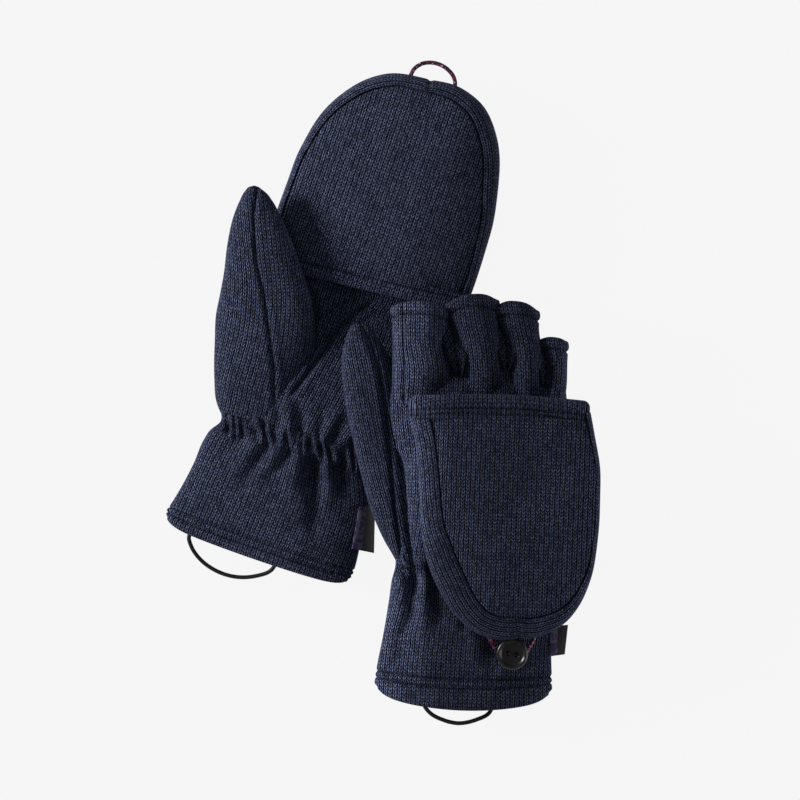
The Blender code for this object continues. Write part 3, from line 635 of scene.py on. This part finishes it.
def label_material():
    """Black woven tape with a fine rib and a mottled purple band, and no lettering."""
    g = Graph("label_weave")
    split = g.node("ShaderNodeSeparateXYZ")
    g.feed(split.inputs[0], g.node("ShaderNodeUVMap", uv_map="UVMap").outputs[0])
    rib = g.maths("SINE", g.maths("MULTIPLY", split.outputs[1], 2 * math.pi / 0.55))
    edge = g.spread(split.outputs[0], 0.44, 0.47)
    cloud = g.noise(g.node("ShaderNodeTexCoord").outputs["Object"], 420, 2.0)
    band = g.mix(g.spread(cloud, 0.45, 0.55), (0.045, 0.020, 0.11, 1), (0.10, 0.10, 0.14, 1))
    colour = g.mix(edge, band, (0.0085, 0.0085, 0.0105, 1))
    colour = g.scaled(colour, g.spread(rib, -1, 1, 0.75, 1.2))
    g.shader.inputs["Specular IOR Level"].default_value = 0.3
    return g.finish(colour, rib, 0.00015, 0.5, 0.6)


KNIT = knit_material("knit_navy")
KNIT_BAND = knit_material("knit_navy_band")
ELASTIC = plain_material("elastic_grey", (0.06, 0.06, 0.065, 1), 0.7, 0.3, 0.2)
BLACK_CORD = plain_material("elastic_black", (0.0075, 0.0075, 0.009, 1), 0.62, 0.3, 0.2)
LOOP_CORD = cord_material("loop_cord", (0.030, 0.010, 0.032, 1), (
    (0.20, (0.30, 0.035, 0.05, 1), 0), (0.16, (0.10, 0.05, 0.16, 1), 1), (0.10, (0.45, 0.32, 0.36, 1), 2)))
RESIN = plain_material("button_resin", (0.013, 0.0115, 0.0115, 1), 0.30, 0.5, 0.12)
THREAD = plain_material("sewing_thread", (0.010, 0.010, 0.016, 1), 0.85, 0.2, 0.25)
LABEL = label_material()

# Cords ----------------------------------------------------------------------------------------------


def add_wire(name, points, radius, resolution, look, body):
    """A round wire through points in metres, closed at both ends."""
    curve = bpy.data.curves.new(name, "CURVE")
    curve.dimensions = "3D"
    curve.bevel_depth = radius
    curve.bevel_resolution = resolution
    curve.use_fill_caps = True
    spline = curve.splines.new("POLY")
    spline.points.add(len(points) - 1)
    for spot, point in zip(spline.points, points):
        spot.co = (*point, 1)
    curve.materials.append(look)
    obj = bpy.data.objects.new(name, curve)
    bpy.context.scene.collection.objects.link(obj)
    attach(obj, body)
    return obj


def add_cord(side, name, route, body, look):
    points = place(side, through(route, CORD_POINTS))
    obj = add_wire(f"shown_{side.name}_{name}", points, CORD / 2000, 5, look, body)
    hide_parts(f"{side.name}_{name}")


# Hand, thumb and fingers ----------------------------------------------------------------------------


def relief(side, points, top):
    """Height change and shade of the hand's upper face, from its gathers, folds and seams."""
    u, v = points[:, 0], points[:, 1]
    flat = np.column_stack([u, v])
    height = 0.7 * soft_noise(u, v, 46, 3) + 0.25 * soft_noise(u, v, 17, 5)
    shade = np.ones(len(u))
    for line, wide, rise in side.folds:
        d, t = from_line(flat, line)
        fade = np.clip(t / 0.12, 0, 1) * (1 - t) ** 0.6
        near = ridge(d, wide)
        height += FOLD * rise * fade * near
        shade -= np.clip(-rise, 0, None) * 0.10 * fade * near
    line, wide, period, deep = side.gather
    d = from_line(flat, line)[0]
    uneven = 1.6 * np.sin(u / 6.1) + 1.2 * np.sin(u / 2.7 + v / 5)
    pucker = 0.5 + 0.5 * np.sin((u + 0.45 * v) * 6.28 / period + uneven)
    height -= deep * (1.2 * ridge(d, wide) + 1.3 * (1 - pucker) * ridge(d, 2.2 * wide))
    height += deep * ridge(d - 4.5, 3.0) * pucker
    shade -= 0.45 * ridge(d, wide * 0.7) * (0.35 + 0.65 * (1 - pucker))
    for line in side.seams:
        d, t = from_line(flat, line)
        ends = np.clip(t / 0.08, 0, 1) * np.clip((1 - t) / 0.08, 0, 1)
        height -= ends * (1.8 * ridge(d, 1.1) - 0.8 * ridge(d - 3.0, 2.2))
        shade -= 0.45 * ends * ridge(d, 0.7)
    return height * top, 1 - (1 - shade) * np.clip(top * 2, 0, 1)


def stitch_lines(from_edge, run, lines):
    """Depth and shade of twin-needle stitching at distances from an edge."""
    deep, shade = np.zeros_like(from_edge), np.ones_like(from_edge)
    for line in lines:
        near = ridge(from_edge - line, NEEDLE_WIDE)
        dash = 0.5 + 0.5 * np.sin(run * 6.28 / STITCH_LONG)
        deep += near * (0.55 + 0.3 * dash)
        shade -= near * (0.40 + 0.22 * dash)
    return deep, shade


def build_hand(side):
    first, last = side.hand[0][0], side.hand[-1][0]
    v = np.linspace(first, last, int((last - first) / ROW_STEP))
    rings = section_rings(side.hand, v, HAND_SQUARE)
    s = along(side.hand, v)
    off = (rings[..., 0] - s[:, 0][:, None]) / s[:, 1][:, None]
    fade = np.clip((first + 34 - v) / 34, 0, 1)[:, None] ** 1.5
    rings[..., 1] -= side.bow * (1 - off**2) * fade
    rings[..., 1] += 3.0 * np.abs(off) ** 9 * np.clip((first + 9 - v) / 9, 0, 1)[:, None]
    top = np.broadcast_to(np.clip(np.sin(TURN), 0, 1)[None] ** 0.6, rings.shape[:2])
    height, shade = relief(side, rings.reshape(-1, 3), top.ravel())
    height, shade = height.reshape(top.shape), shade.reshape(top.shape).copy()
    under = np.clip(-np.sin(TURN), 0, 1)[None] ** 0.6
    seam = ridge(np.minimum(np.abs(TURN), np.abs(TURN - math.pi)), 0.03)[None]
    deep, dark = stitch_lines(np.broadcast_to((v - first)[:, None] + 1.0, top.shape),
                              rings[..., 0] + rings[..., 2], side.hem_lines)
    rings[..., 2] += height + 0.3 * under * soft_noise(rings[..., 0], v[:, None] + 0 * top, 30, 9)
    rings += inwards(rings) * (1.4 * deep + 0.7 * seam)[..., None]
    shade = shade * dark * (1 - 0.25 * seam)
    obj = walled_tube("hand", side, rings, KNIT, f"{side.name}_mitten", shade, True, False)
    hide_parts(f"{side.name}_palm_panel", f"{side.name}_back_panel", f"{side.name}_cuff_hem")
    plain = section_rings(side.hand, np.linspace(-3.5, 3.5, 9), ELASTIC_SQUARE)
    centre = plain.mean(1, keepdims=True)
    inside = centre + (plain - centre) * (0.84, 1, 0.30)
    plain_shade = np.ones(inside.shape[:2])
    obj = walled_tube("wrist_elastic", side, inside, ELASTIC, f"{side.name}_mitten", plain_shade, True, True)
    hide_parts(f"{side.name}_wrist_elastic")


def build_thumb(side):
    first, last = side.thumb[0][0], side.thumb[-1][0]
    v = first + (last - first) * np.sin(np.linspace(0, math.pi / 2, int((last - first) / ROW_STEP)))
    rings = section_rings(side.thumb, v, THUMB_SQUARE)
    top = np.clip(np.sin(TURN), 0, 1)[None] ** 0.5
    flat = rings[..., :2].reshape(-1, 2)
    d = from_line(flat, side.thumb_seam)[0].reshape(rings.shape[:2])
    rings[..., 2] += top * (0.5 * soft_noise(rings[..., 0], rings[..., 1], 34, 12)
                            - ridge(d, 0.9) + 0.45 * ridge(d - 3, 2.0))
    shade = 1 - 0.28 * top * ridge(d, 0.8)
    wool = ring_wool(rings)
    across = np.concatenate([rings[..., 0], rings[:, :1, 0]], 1)
    middle = np.interp(rings[:, 0, 1], *np.asarray(sorted((b, a) for a, b in side.thumb_seam)).T)[:, None]
    lean = np.where(across > middle, 0.42, -0.10)
    wool[..., 1] += lean * (across - middle)
    points = rings.reshape(-1, 3)
    faces = ring_faces(len(v), AROUND, False)[:, ::-1].tolist()
    uv = ring_uv(wool, False).reshape(-1, 4, 2)[:, ::-1].reshape(-1, 2)
    last_row = (len(v) - 1) * AROUND
    faces.append(list(range(AROUND)))
    faces.append(list(range(last_row + AROUND - 1, last_row - 1, -1)))
    uv = np.concatenate([uv, wool[0, :AROUND], wool[-1, :AROUND][::-1]])
    obj = add_piece(f"{side.name}_thumb", place(side, points), faces, KNIT, f"{side.name}_mitten", uv, shade)
    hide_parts(f"{side.name}_thumb_outer_panel", f"{side.name}_thumb_inner_panel")


def give(side, obj, level, keep):
    """On the right mitten, a piece gets a mesh of its own; level and keep are not used."""
    if not side.up:
        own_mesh(obj)


def build_fingers(side):
    for finger, stations in side.fingers.items():
        first, last = stations[0][0], stations[-1][0]
        v = np.linspace(first, last, int((last - first) / FINGER_STEP))
        rings = section_rings(stations, v, FINGER_SQUARE)
        s = along(stations, v)
        off = (rings[..., 0] - s[:, 0][:, None]) / s[:, 1][:, None]
        bow, slope = side.finger_ends[finger]
        near_end = np.clip((v - last + 26) / 26, 0, 1)[:, None] ** 1.6
        rings[..., 1] += near_end * (bow * (1 - np.abs(off) ** 3.4) * np.sin(TURN).clip(-0.2) + slope * off)
        from_end = last - v
        line = ridge(from_end - 4.0, 0.7)[:, None] * np.ones((1, AROUND))
        roll = 0.4 * ridge(from_end - 1.2, 1.8)[:, None]
        run = rings[..., 0] + rings[..., 2]
        # Painted shade: darker along the hem's stitch line and down the fingers' sides, between the fingers.
        shade = 1 - line * (0.5 + 0.12 * np.sin(run * 2.0)) - 0.3 * (np.abs(off) > 0.93)
        if finger == "index" and side.index_seam:
            seam = ridge(off - side.index_seam, 0.05) * (np.sin(TURN) > 0)
            rings[..., 2] -= 0.8 * seam
            shade = shade - 0.3 * seam
        rings[..., 2] += 0.5 * soft_noise(rings[..., 0], rings[..., 1], 24, 31)
        rings += inwards(rings) * (0.9 * line - roll)[..., None]
        obj = walled_tube(f"{finger}_finger", side, rings, KNIT, f"{side.name}_mitten", shade, False, True)
        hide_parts(f"{side.name}_{finger}_sleeve", f"{side.name}_{finger}_hem")
        give(side, obj, *STUBS_GIVE)


def build_fourchettes(side):
    """The strips between the fingers: hollowed lengthways, stitches meeting in a herringbone."""
    for name, stations in side.fourchettes.items():
        first, last = stations[0][0], stations[-1][0]
        v = np.linspace(first, last, int((last - first) / FOURCHETTE_STEP))
        s = along(stations, v)
        off = np.concatenate([np.linspace(-1, 1, 60), np.linspace(1, -1, 60)])
        under = np.repeat([0, 1], 60)
        u = s[:, 0][:, None] + s[:, 1][:, None] * off
        z = s[:, 2][:, None] + 2.2 * np.abs(off)[None] ** 1.6 - 0.5 * ridge(off, 0.06)[None] - 2.0 * under
        loop = np.stack([u, np.broadcast_to(v[:, None], u.shape), z], -1)
        closed = shut(loop)
        out = np.abs(closed[..., 0] - s[:, 0][:, None])
        rows_v = closed[..., 1]
        wool = np.stack([0.80 * out + 0.60 * rows_v + 400, 0.80 * rows_v - 0.60 * out + 400], -1)
        # Painted shade: the strips between the fingers darker all over, darker still at their middle and
        # edges.
        shade = 0.62 - 0.3 * ridge(off, 0.06)[None] - 0.4 * (np.abs(off) > 0.72)[None] + 0 * u
        obj = closed_loft(f"{name}_fourchette", side, loop, wool, shade, KNIT, "mitten")
        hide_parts(f"{side.name}_{name}_fourchette")
        give(side, obj, *STUBS_GIVE)


# Cap ------------------------------------------------------------------------------------------------


def cap_edge(side, count=420):
    """Outline points (n, 3: u, v, seam inset), their outward directions, and the mitre's place."""
    line = through(side.cap, count)
    way = np.gradient(line[:, :2], axis=0)
    way /= np.linalg.norm(way, axis=1, keepdims=True)
    out = np.column_stack([-way[:, 1], way[:, 0]])
    centre = line[:, :2].mean(0)
    if ((line[:, :2] - centre) * out).sum() < 0:
        out = -out
    corner = np.asarray(side.cap[side.cap_mitre][:2])
    mitre = int(np.argmin(np.linalg.norm(line[:, :2] - corner, axis=1)))
    return line, out, mitre


def tilted(side, u, v, z):
    """The cap's upper side tipped across, and its underside drooping towards the tip."""
    bottom, middle, seam_z, _ = side.cap_levels
    under = np.clip((middle + 3 - z) / (middle + 3 - bottom), 0, 1)
    droop = side.cap_droop * np.clip((30 - v) / 40, 0, 1) * under
    return z - droop + side.cap_tilt * (u - 5) * np.clip((z - bottom) / (seam_z - bottom), 0, 1)


def build_strips(side):
    """The two edge strips, swept along the outline, wales running with the edge."""
    line, out, mitre = cap_edge(side)
    bottom, middle, seam_z, _ = side.cap_levels
    run = np.concatenate([[0], np.cumsum(np.linalg.norm(np.diff(line[:, :2], axis=0), axis=1))])
    parts = {"cap_strip_thumb_side": slice(0, mitre + 1), "cap_strip_little_side": slice(mitre, None)}
    for name, part in parts.items():
        p, o, r = line[part], out[part], run[part]
        a = np.radians(np.linspace(96, -90, 46))
        inset = p[:, 2][:, None]
        reach = np.where(np.sin(a)[None] > 0, np.maximum(inset, 2.5), 7.0)
        lean = 1 - np.maximum(np.cos(a), 0) ** 0.8
        from_edge = reach * np.clip(lean, 0, None)[None]
        swing = np.sign(np.sin(a)) * np.abs(np.sin(a)) ** 0.85
        z = middle + np.where(np.sin(a) > 0, (seam_z - middle), (middle - bottom)) * swing
        z = np.broadcast_to(z[None], from_edge.shape).copy()
        wave = 0.25 * soft_noise(p[:, 0], p[:, 1], 26, 41)[:, None]
        to_hem = np.abs(p[:, 1] - side.cap_hem[1])[:, None]
        z += wave + HEM_CLIMB * ridge(to_hem, 16)
        first = ridge(r - r[-1 if part.start == 0 else 0], 1.2)
        from_edge = from_edge + 0.8 * first[:, None] + (wave * 0.6)
        u = p[:, 0][:, None] - o[:, 0][:, None] * from_edge
        v = p[:, 1][:, None] - o[:, 1][:, None] * from_edge
        z = tilted(side, u, v, z)
        outer = np.stack([u, v, z], -1)
        inner_from = from_edge + WALL * np.cos(a)[None].clip(0.15)  # so the two faces never meet
        inner = np.stack([p[:, 0][:, None] - o[:, 0][:, None] * inner_from,
                          p[:, 1][:, None] - o[:, 1][:, None] * inner_from,
                          z - WALL * np.sin(a)[None]], -1)[:, ::-1]
        loop = np.concatenate([outer, inner], 1)
        rows, cols = loop.shape[:2]
        closed = shut(loop)
        girth = np.cumsum(np.linalg.norm(np.diff(closed, axis=1), axis=-1), 1)
        girth = np.concatenate([np.zeros((rows, 1)), girth], 1)
        wool = np.stack([girth + 200, np.broadcast_to(r[:, None] + 300, girth.shape)], -1)
        # Painted shade: darker along the strip's seam with the panel and at the mitre.
        dark = 1 - 0.45 * ridge(np.arange(cols), 2.0)[None] - 0.35 * first[:, None]
        obj = closed_loft(name, side, loop, wool, np.clip(dark, 0.2, 1), KNIT_BAND, "cap")
        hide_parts(f"{side.name}_{name}")
        give(side, obj, *CAP_GIVE)


def domed_sheet(name, side, boundary, edge_z, centre_z, sewn=1.0):
    """A closed cloth panel inside a boundary (n, 2): rings shrink towards its middle."""
    centre = boundary.mean(0)
    scales = np.concatenate([np.linspace(1, 0.9, 20), np.linspace(0.885, 0.02, 60)])
    rings = centre + (boundary[None] - centre) * scales[:, None, None]
    s = scales[:, None]
    z = centre_z + (edge_z[None] - centre_z) * s**3.2
    z = z + (1 - s**6) * 0.5 * soft_noise(rings[..., 0], rings[..., 1], 40, 21)
    z -= 1.6 * sewn * ridge(1 - s, 0.014)
    z = tilted(side, rings[..., 0], rings[..., 1], z)
    upper = np.concatenate([rings, z[..., None]], -1)
    lower = upper.copy()
    lower[..., 2] -= WALL
    loop = np.concatenate([upper[::-1], lower])
    wool = shut(loop)[..., :2] + 600
    shade = np.concatenate([(1 - 0.45 * sewn * ridge(1 - s, 0.010) + 0 * z)[::-1], np.ones_like(z)])
    return closed_loft(name, side, loop, wool, shade, KNIT, "cap")


def hem_lines(side):
    """A function that gives the v at each u of a line beside the cap's hem, from its v in the middle."""
    _, _, middle, half, _, _, bow, slope = side.cap_hem
    return lambda u, v: v + bow * (1 - ((u - middle) / half) ** 2) + slope * (u - middle) / half


def build_cap_panels(side):
    line, out, _ = cap_edge(side)
    bottom, _, seam_z, dome_z = side.cap_levels
    seam = line[:, :2] - out * line[:, 2:3]
    far = side.cap_hem[1] + (-1.2 if side.up else 1.2)
    at = hem_lines(side)
    ahead = 1 if side.up else -1
    kept = seam[(seam[:, 1] - at(seam[:, 0], far)) * ahead > 0]
    u = np.linspace(kept[-1, 0], kept[0, 0], 160)[1:-1]
    back = np.column_stack([u, at(u, far)])
    boundary = np.concatenate([kept, back])
    hem_top = side.cap_hem[5] - 0.3
    edge = np.concatenate([np.full(len(kept), seam_z), np.full(len(back), hem_top)])
    corner = np.minimum(np.arange(len(back)), len(back) - 1 - np.arange(len(back))) / 28
    edge[len(kept):] = seam_z + (hem_top - seam_z) * np.clip(corner, 0, 1)
    sewn = np.concatenate([np.ones(len(kept)), np.zeros(len(back))])[None]
    obj = domed_sheet("cap_palm_panel", side, boundary, edge, dome_z, sewn)
    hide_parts(f"{side.name}_cap_palm_panel")
    give(side, obj, *CAP_GIVE)
    under = line[::3, :2] - out[::3] * 6.0
    level = bottom + WALL + 0.2
    obj = domed_sheet("cap_back_panel", side, under, np.full(len(under), level), level, 0.0)
    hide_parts(f"{side.name}_cap_back_panel")
    give(side, obj, *CAP_GIVE)


def build_cap_hem(side):
    """The doubled free edge: a flat cushion across the whole cap, stitched near its far side."""
    free, far, middle, half, low, high, _, _ = side.cap_hem
    at = hem_lines(side)
    t = np.unique(np.concatenate([np.linspace(0, 0.25, 26) ** 2 / 0.25, np.linspace(0.25, 1, 50)]))
    depth = t * abs(far - free)
    round_end = np.sqrt(np.clip(1 - (1 - np.clip(depth / HEM_ROUND, 0, 1)) ** 2, 0.02, 1))
    corner = HEM_CORNER * (1 - np.sqrt(np.clip(1 - (1 - np.clip(depth / HEM_CORNER, 0, 1)) ** 2, 0, 1)))
    zm, hz = (low + high) / 2, (high - low) / 2
    c, d = np.cos(TURN), np.sin(TURN)
    wide = half - corner
    u = middle + wide[:, None] * np.sign(c) * np.abs(c) ** 0.8
    flat = np.clip(np.abs(d), 0, 1)[None] ** 0.5
    z = zm + (hz - (1 - round_end)[:, None] * 2.6 * flat) * (np.sign(d) * np.abs(d) ** 0.68)[None]
    z += 0.5 * soft_noise(u, 0 * u + free, 48, 7) * flat
    deep, dark = stitch_lines(np.broadcast_to(depth[:, None], u.shape), u, side.cap_hem_lines)
    roll = 0.7 * ridge(depth - 3.0, 2.6)[:, None]
    z += np.where(d > 0, roll - 0.8 * deep, 0)
    v = free + (far - free) * t[:, None] + at(u, 0.0)
    z = tilted(side, u, v, z)
    loop = np.stack([u, v, z], -1)
    girth = z + depth[:, None] * np.clip(1.5 * (z - zm) / hz, -1, 1)
    wool = shut(np.stack([u, girth], -1) + 600)
    obj = closed_loft("cap_hem", side, loop, wool, dark, KNIT_BAND, "cap")
    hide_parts(f"{side.name}_cap_hem")
    give(side, obj, *CAP_GIVE)


# Small parts ----------------------------------------------------------------------------------------


def revolve(profile, count):
    """Points (rows, count, 3) of a profile (radius, z) turned round the z axis."""
    turn = np.linspace(0, 2 * math.pi, count, endpoint=False)
    p = np.asarray(profile, float)
    return np.stack([p[:, 0][:, None] * np.cos(turn), p[:, 0][:, None] * np.sin(turn),
                     np.broadcast_to(p[:, 1][:, None], (len(p), count))], -1)


def build_button(side):
    u, v, z, shown = side.button
    r = BUTTON_RADIUS
    profile = [(0.05, 0), (r - 2.2, 0), (r - 0.7, 0.5), (r - 0.1, 1.2), (r, 1.8), (r - 0.25, 2.5),
               (r - 0.8, 2.95), (r - 1.4, 3.1), (r - 1.9, 2.8), (r - 2.3, 2.2), (r - 2.8, 1.95)]
    profile += [(x, 1.55 + 0.4 * (x / 5.4) ** 2) for x in np.arange(5.2, 0, -0.2)] + [(0.05, 1.55)]
    rows = np.asarray(profile)
    if not shown:
        rows = rows * (1, -1)
    solid = revolve(rows, BUTTON_POINTS)
    for sign in (-1, 1):
        hole = np.array([sign * 2.3, -sign * 0.25])
        offset = solid[..., :2] - hole
        d = np.linalg.norm(offset, axis=-1)
        near = (d < HOLE_RADIUS) & (np.abs(solid[..., 2]) > 1)
        solid[..., 2] = np.where(near, np.sign(solid[..., 2]) * 0.4, solid[..., 2])
    if shown:
        solid[..., 2] += BUTTON_TILT * (solid[..., 0] * 0.8 + solid[..., 1] * 0.4)
    solid = solid + np.array([u, v, z])
    faces = ring_faces(len(solid), BUTTON_POINTS, False).tolist()
    end = (len(solid) - 1) * BUTTON_POINTS
    faces += [list(range(BUTTON_POINTS))[::-1], list(range(end, end + BUTTON_POINTS))]
    points = place(side, solid).reshape(-1, 3)
    obj = add_piece(f"{side.name}_button", points, faces, RESIN, f"{side.name}_mitten")
    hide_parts(f"{side.name}_button")


def build_thread(side):
    u, v, z, shown = side.button
    sign = 1 if shown else -1
    top = 1.9 * sign
    route = [(u - 2.3, v + 0.25, z - 3.6 * sign), (u - 2.35, v + 0.25, z + top * 0.6),
             (u - 2.0, v + 0.2, z + top + 0.25 * sign), (u, v, z + top + 0.35 * sign),
             (u + 2.0, v - 0.2, z + top + 0.25 * sign), (u + 2.35, v - 0.25, z + top * 0.6),
             (u + 2.3, v - 0.25, z - 3.6 * sign)]
    points = place(side, np.asarray(route, float))
    name = f"shown_{side.name}_button_thread"
    obj = add_wire(name, points, THREAD_RADIUS, 3, THREAD, f"{side.name}_mitten")
    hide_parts(f"{side.name}_button_thread")


def build_label(side):
    a, b, c, d, low, high = side.label
    corners = np.array([a, b, c, d], float)
    n = LABEL_POINTS
    s, t = np.meshgrid(np.linspace(0, 1, n), np.linspace(0, 1, n), indexing="ij")
    flat = ((1 - s)[..., None] * ((1 - t)[..., None] * corners[0] + t[..., None] * corners[1])
            + s[..., None] * ((1 - t)[..., None] * corners[3] + t[..., None] * corners[2]))
    z = low + (high - low) * (1 - t**2) + 0.6 * np.sin(s * 5) * t
    upper = np.concatenate([flat, (z + LABEL_HALF)[..., None]], -1)
    lower = np.concatenate([flat, (z - LABEL_HALF)[..., None]], -1)
    points = np.concatenate([upper.reshape(-1, 3), lower.reshape(-1, 3)])
    k = np.arange(n * n).reshape(n, n)
    quads = np.stack([k[:-1, :-1], k[:-1, 1:], k[1:, 1:], k[1:, :-1]], -1).reshape(-1, 4)
    rim = np.concatenate([k[0, :-1], k[:-1, -1], k[-1, :0:-1], k[:0:-1, 0]])
    nxt = np.roll(rim, -1)
    sides = np.stack([rim, nxt, nxt + n * n, rim + n * n], -1)
    faces = np.concatenate([quads[:, ::-1], quads + n * n, sides])
    wool = np.stack([t, s * 26], -1).reshape(-1, 2)
    wool = np.concatenate([wool, wool])
    uv = wool[faces.ravel()]
    obj = add_piece(f"{side.name}_side_label", place(side, points), faces, LABEL, f"{side.name}_mitten", uv)
    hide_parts(f"{side.name}_side_label")


def build_mitten(side):
    add_cord(side, "cap_loop", side.loop, f"{side.name}_cap", LOOP_CORD)
    add_cord(side, "cuff_cord", side.cuff_cord, f"{side.name}_mitten", BLACK_CORD)
    build_hand(side)
    build_thumb(side)
    build_fingers(side)
    build_fourchettes(side)
    build_cap_panels(side)
    build_strips(side)
    build_cap_hem(side)
    build_button(side)
    build_thread(side)
    build_label(side)


# Light ----------------------------------------------------------------------------------------------


FLOOR_LEVEL = -0.0008  # m, just under the lowest piece


def add_floor():
    mesh = bpy.data.meshes.new("floor")
    corners = [(x, y, FLOOR_LEVEL) for x, y in ((-3, -3), (3, -3), (3, 3), (-3, 3))]
    mesh.from_pydata(corners, [], [(0, 1, 2, 3)])
    floor = bpy.data.objects.new("floor", mesh)
    bpy.context.scene.collection.objects.link(floor)
    material = bpy.data.materials.new("floor_white")
    material.use_nodes = True
    shader = material.node_tree.nodes["Principled BSDF"]
    shader.inputs["Base Color"].default_value = (0.02, 0.02, 0.02, 1)
    shader.inputs["Roughness"].default_value = 1.0
    shader.inputs["Specular IOR Level"].default_value = 0.0
    shader.inputs["Emission Color"].default_value = (1, 1, 1, 1)
    shader.inputs["Emission Strength"].default_value = 0.905
    mesh.materials.append(material)


def add_area(name, place_at, size, power):
    """A soft round light that shines at the middle of the pair."""
    data = bpy.data.lights.new(name, "AREA")
    data.shape = "DISK"
    data.size = size
    data.energy = power
    light = bpy.data.objects.new(name, data)
    light.location = place_at
    light.rotation_euler = (-Vector(place_at)).to_track_quat("-Z", "Y").to_euler()
    bpy.context.scene.collection.objects.link(light)


def add_light():
    world = bpy.data.worlds.new("soft_white")
    world.use_nodes = True
    world.node_tree.nodes["Background"].inputs["Color"].default_value = (0.95, 0.97, 1.0, 1)
    world.node_tree.nodes["Background"].inputs["Strength"].default_value = 0.12
    bpy.context.scene.world = world
    add_area("key", (-1.7, 0.36, 0.62), 0.55, 43)
    add_area("top", (-0.6, 0.3, 1.6), 0.9, 1.5)
    add_area("fill", (1.3, -0.5, 0.5), 0.8, 5.5)
    scene = bpy.context.scene
    scene.view_settings.view_transform = "Standard"
    scene.view_settings.look = "None"
    scene.view_settings.exposure = 0.0


for mitten in (LEFT, RIGHT):
    build_mitten(mitten)
add_floor()
add_light()
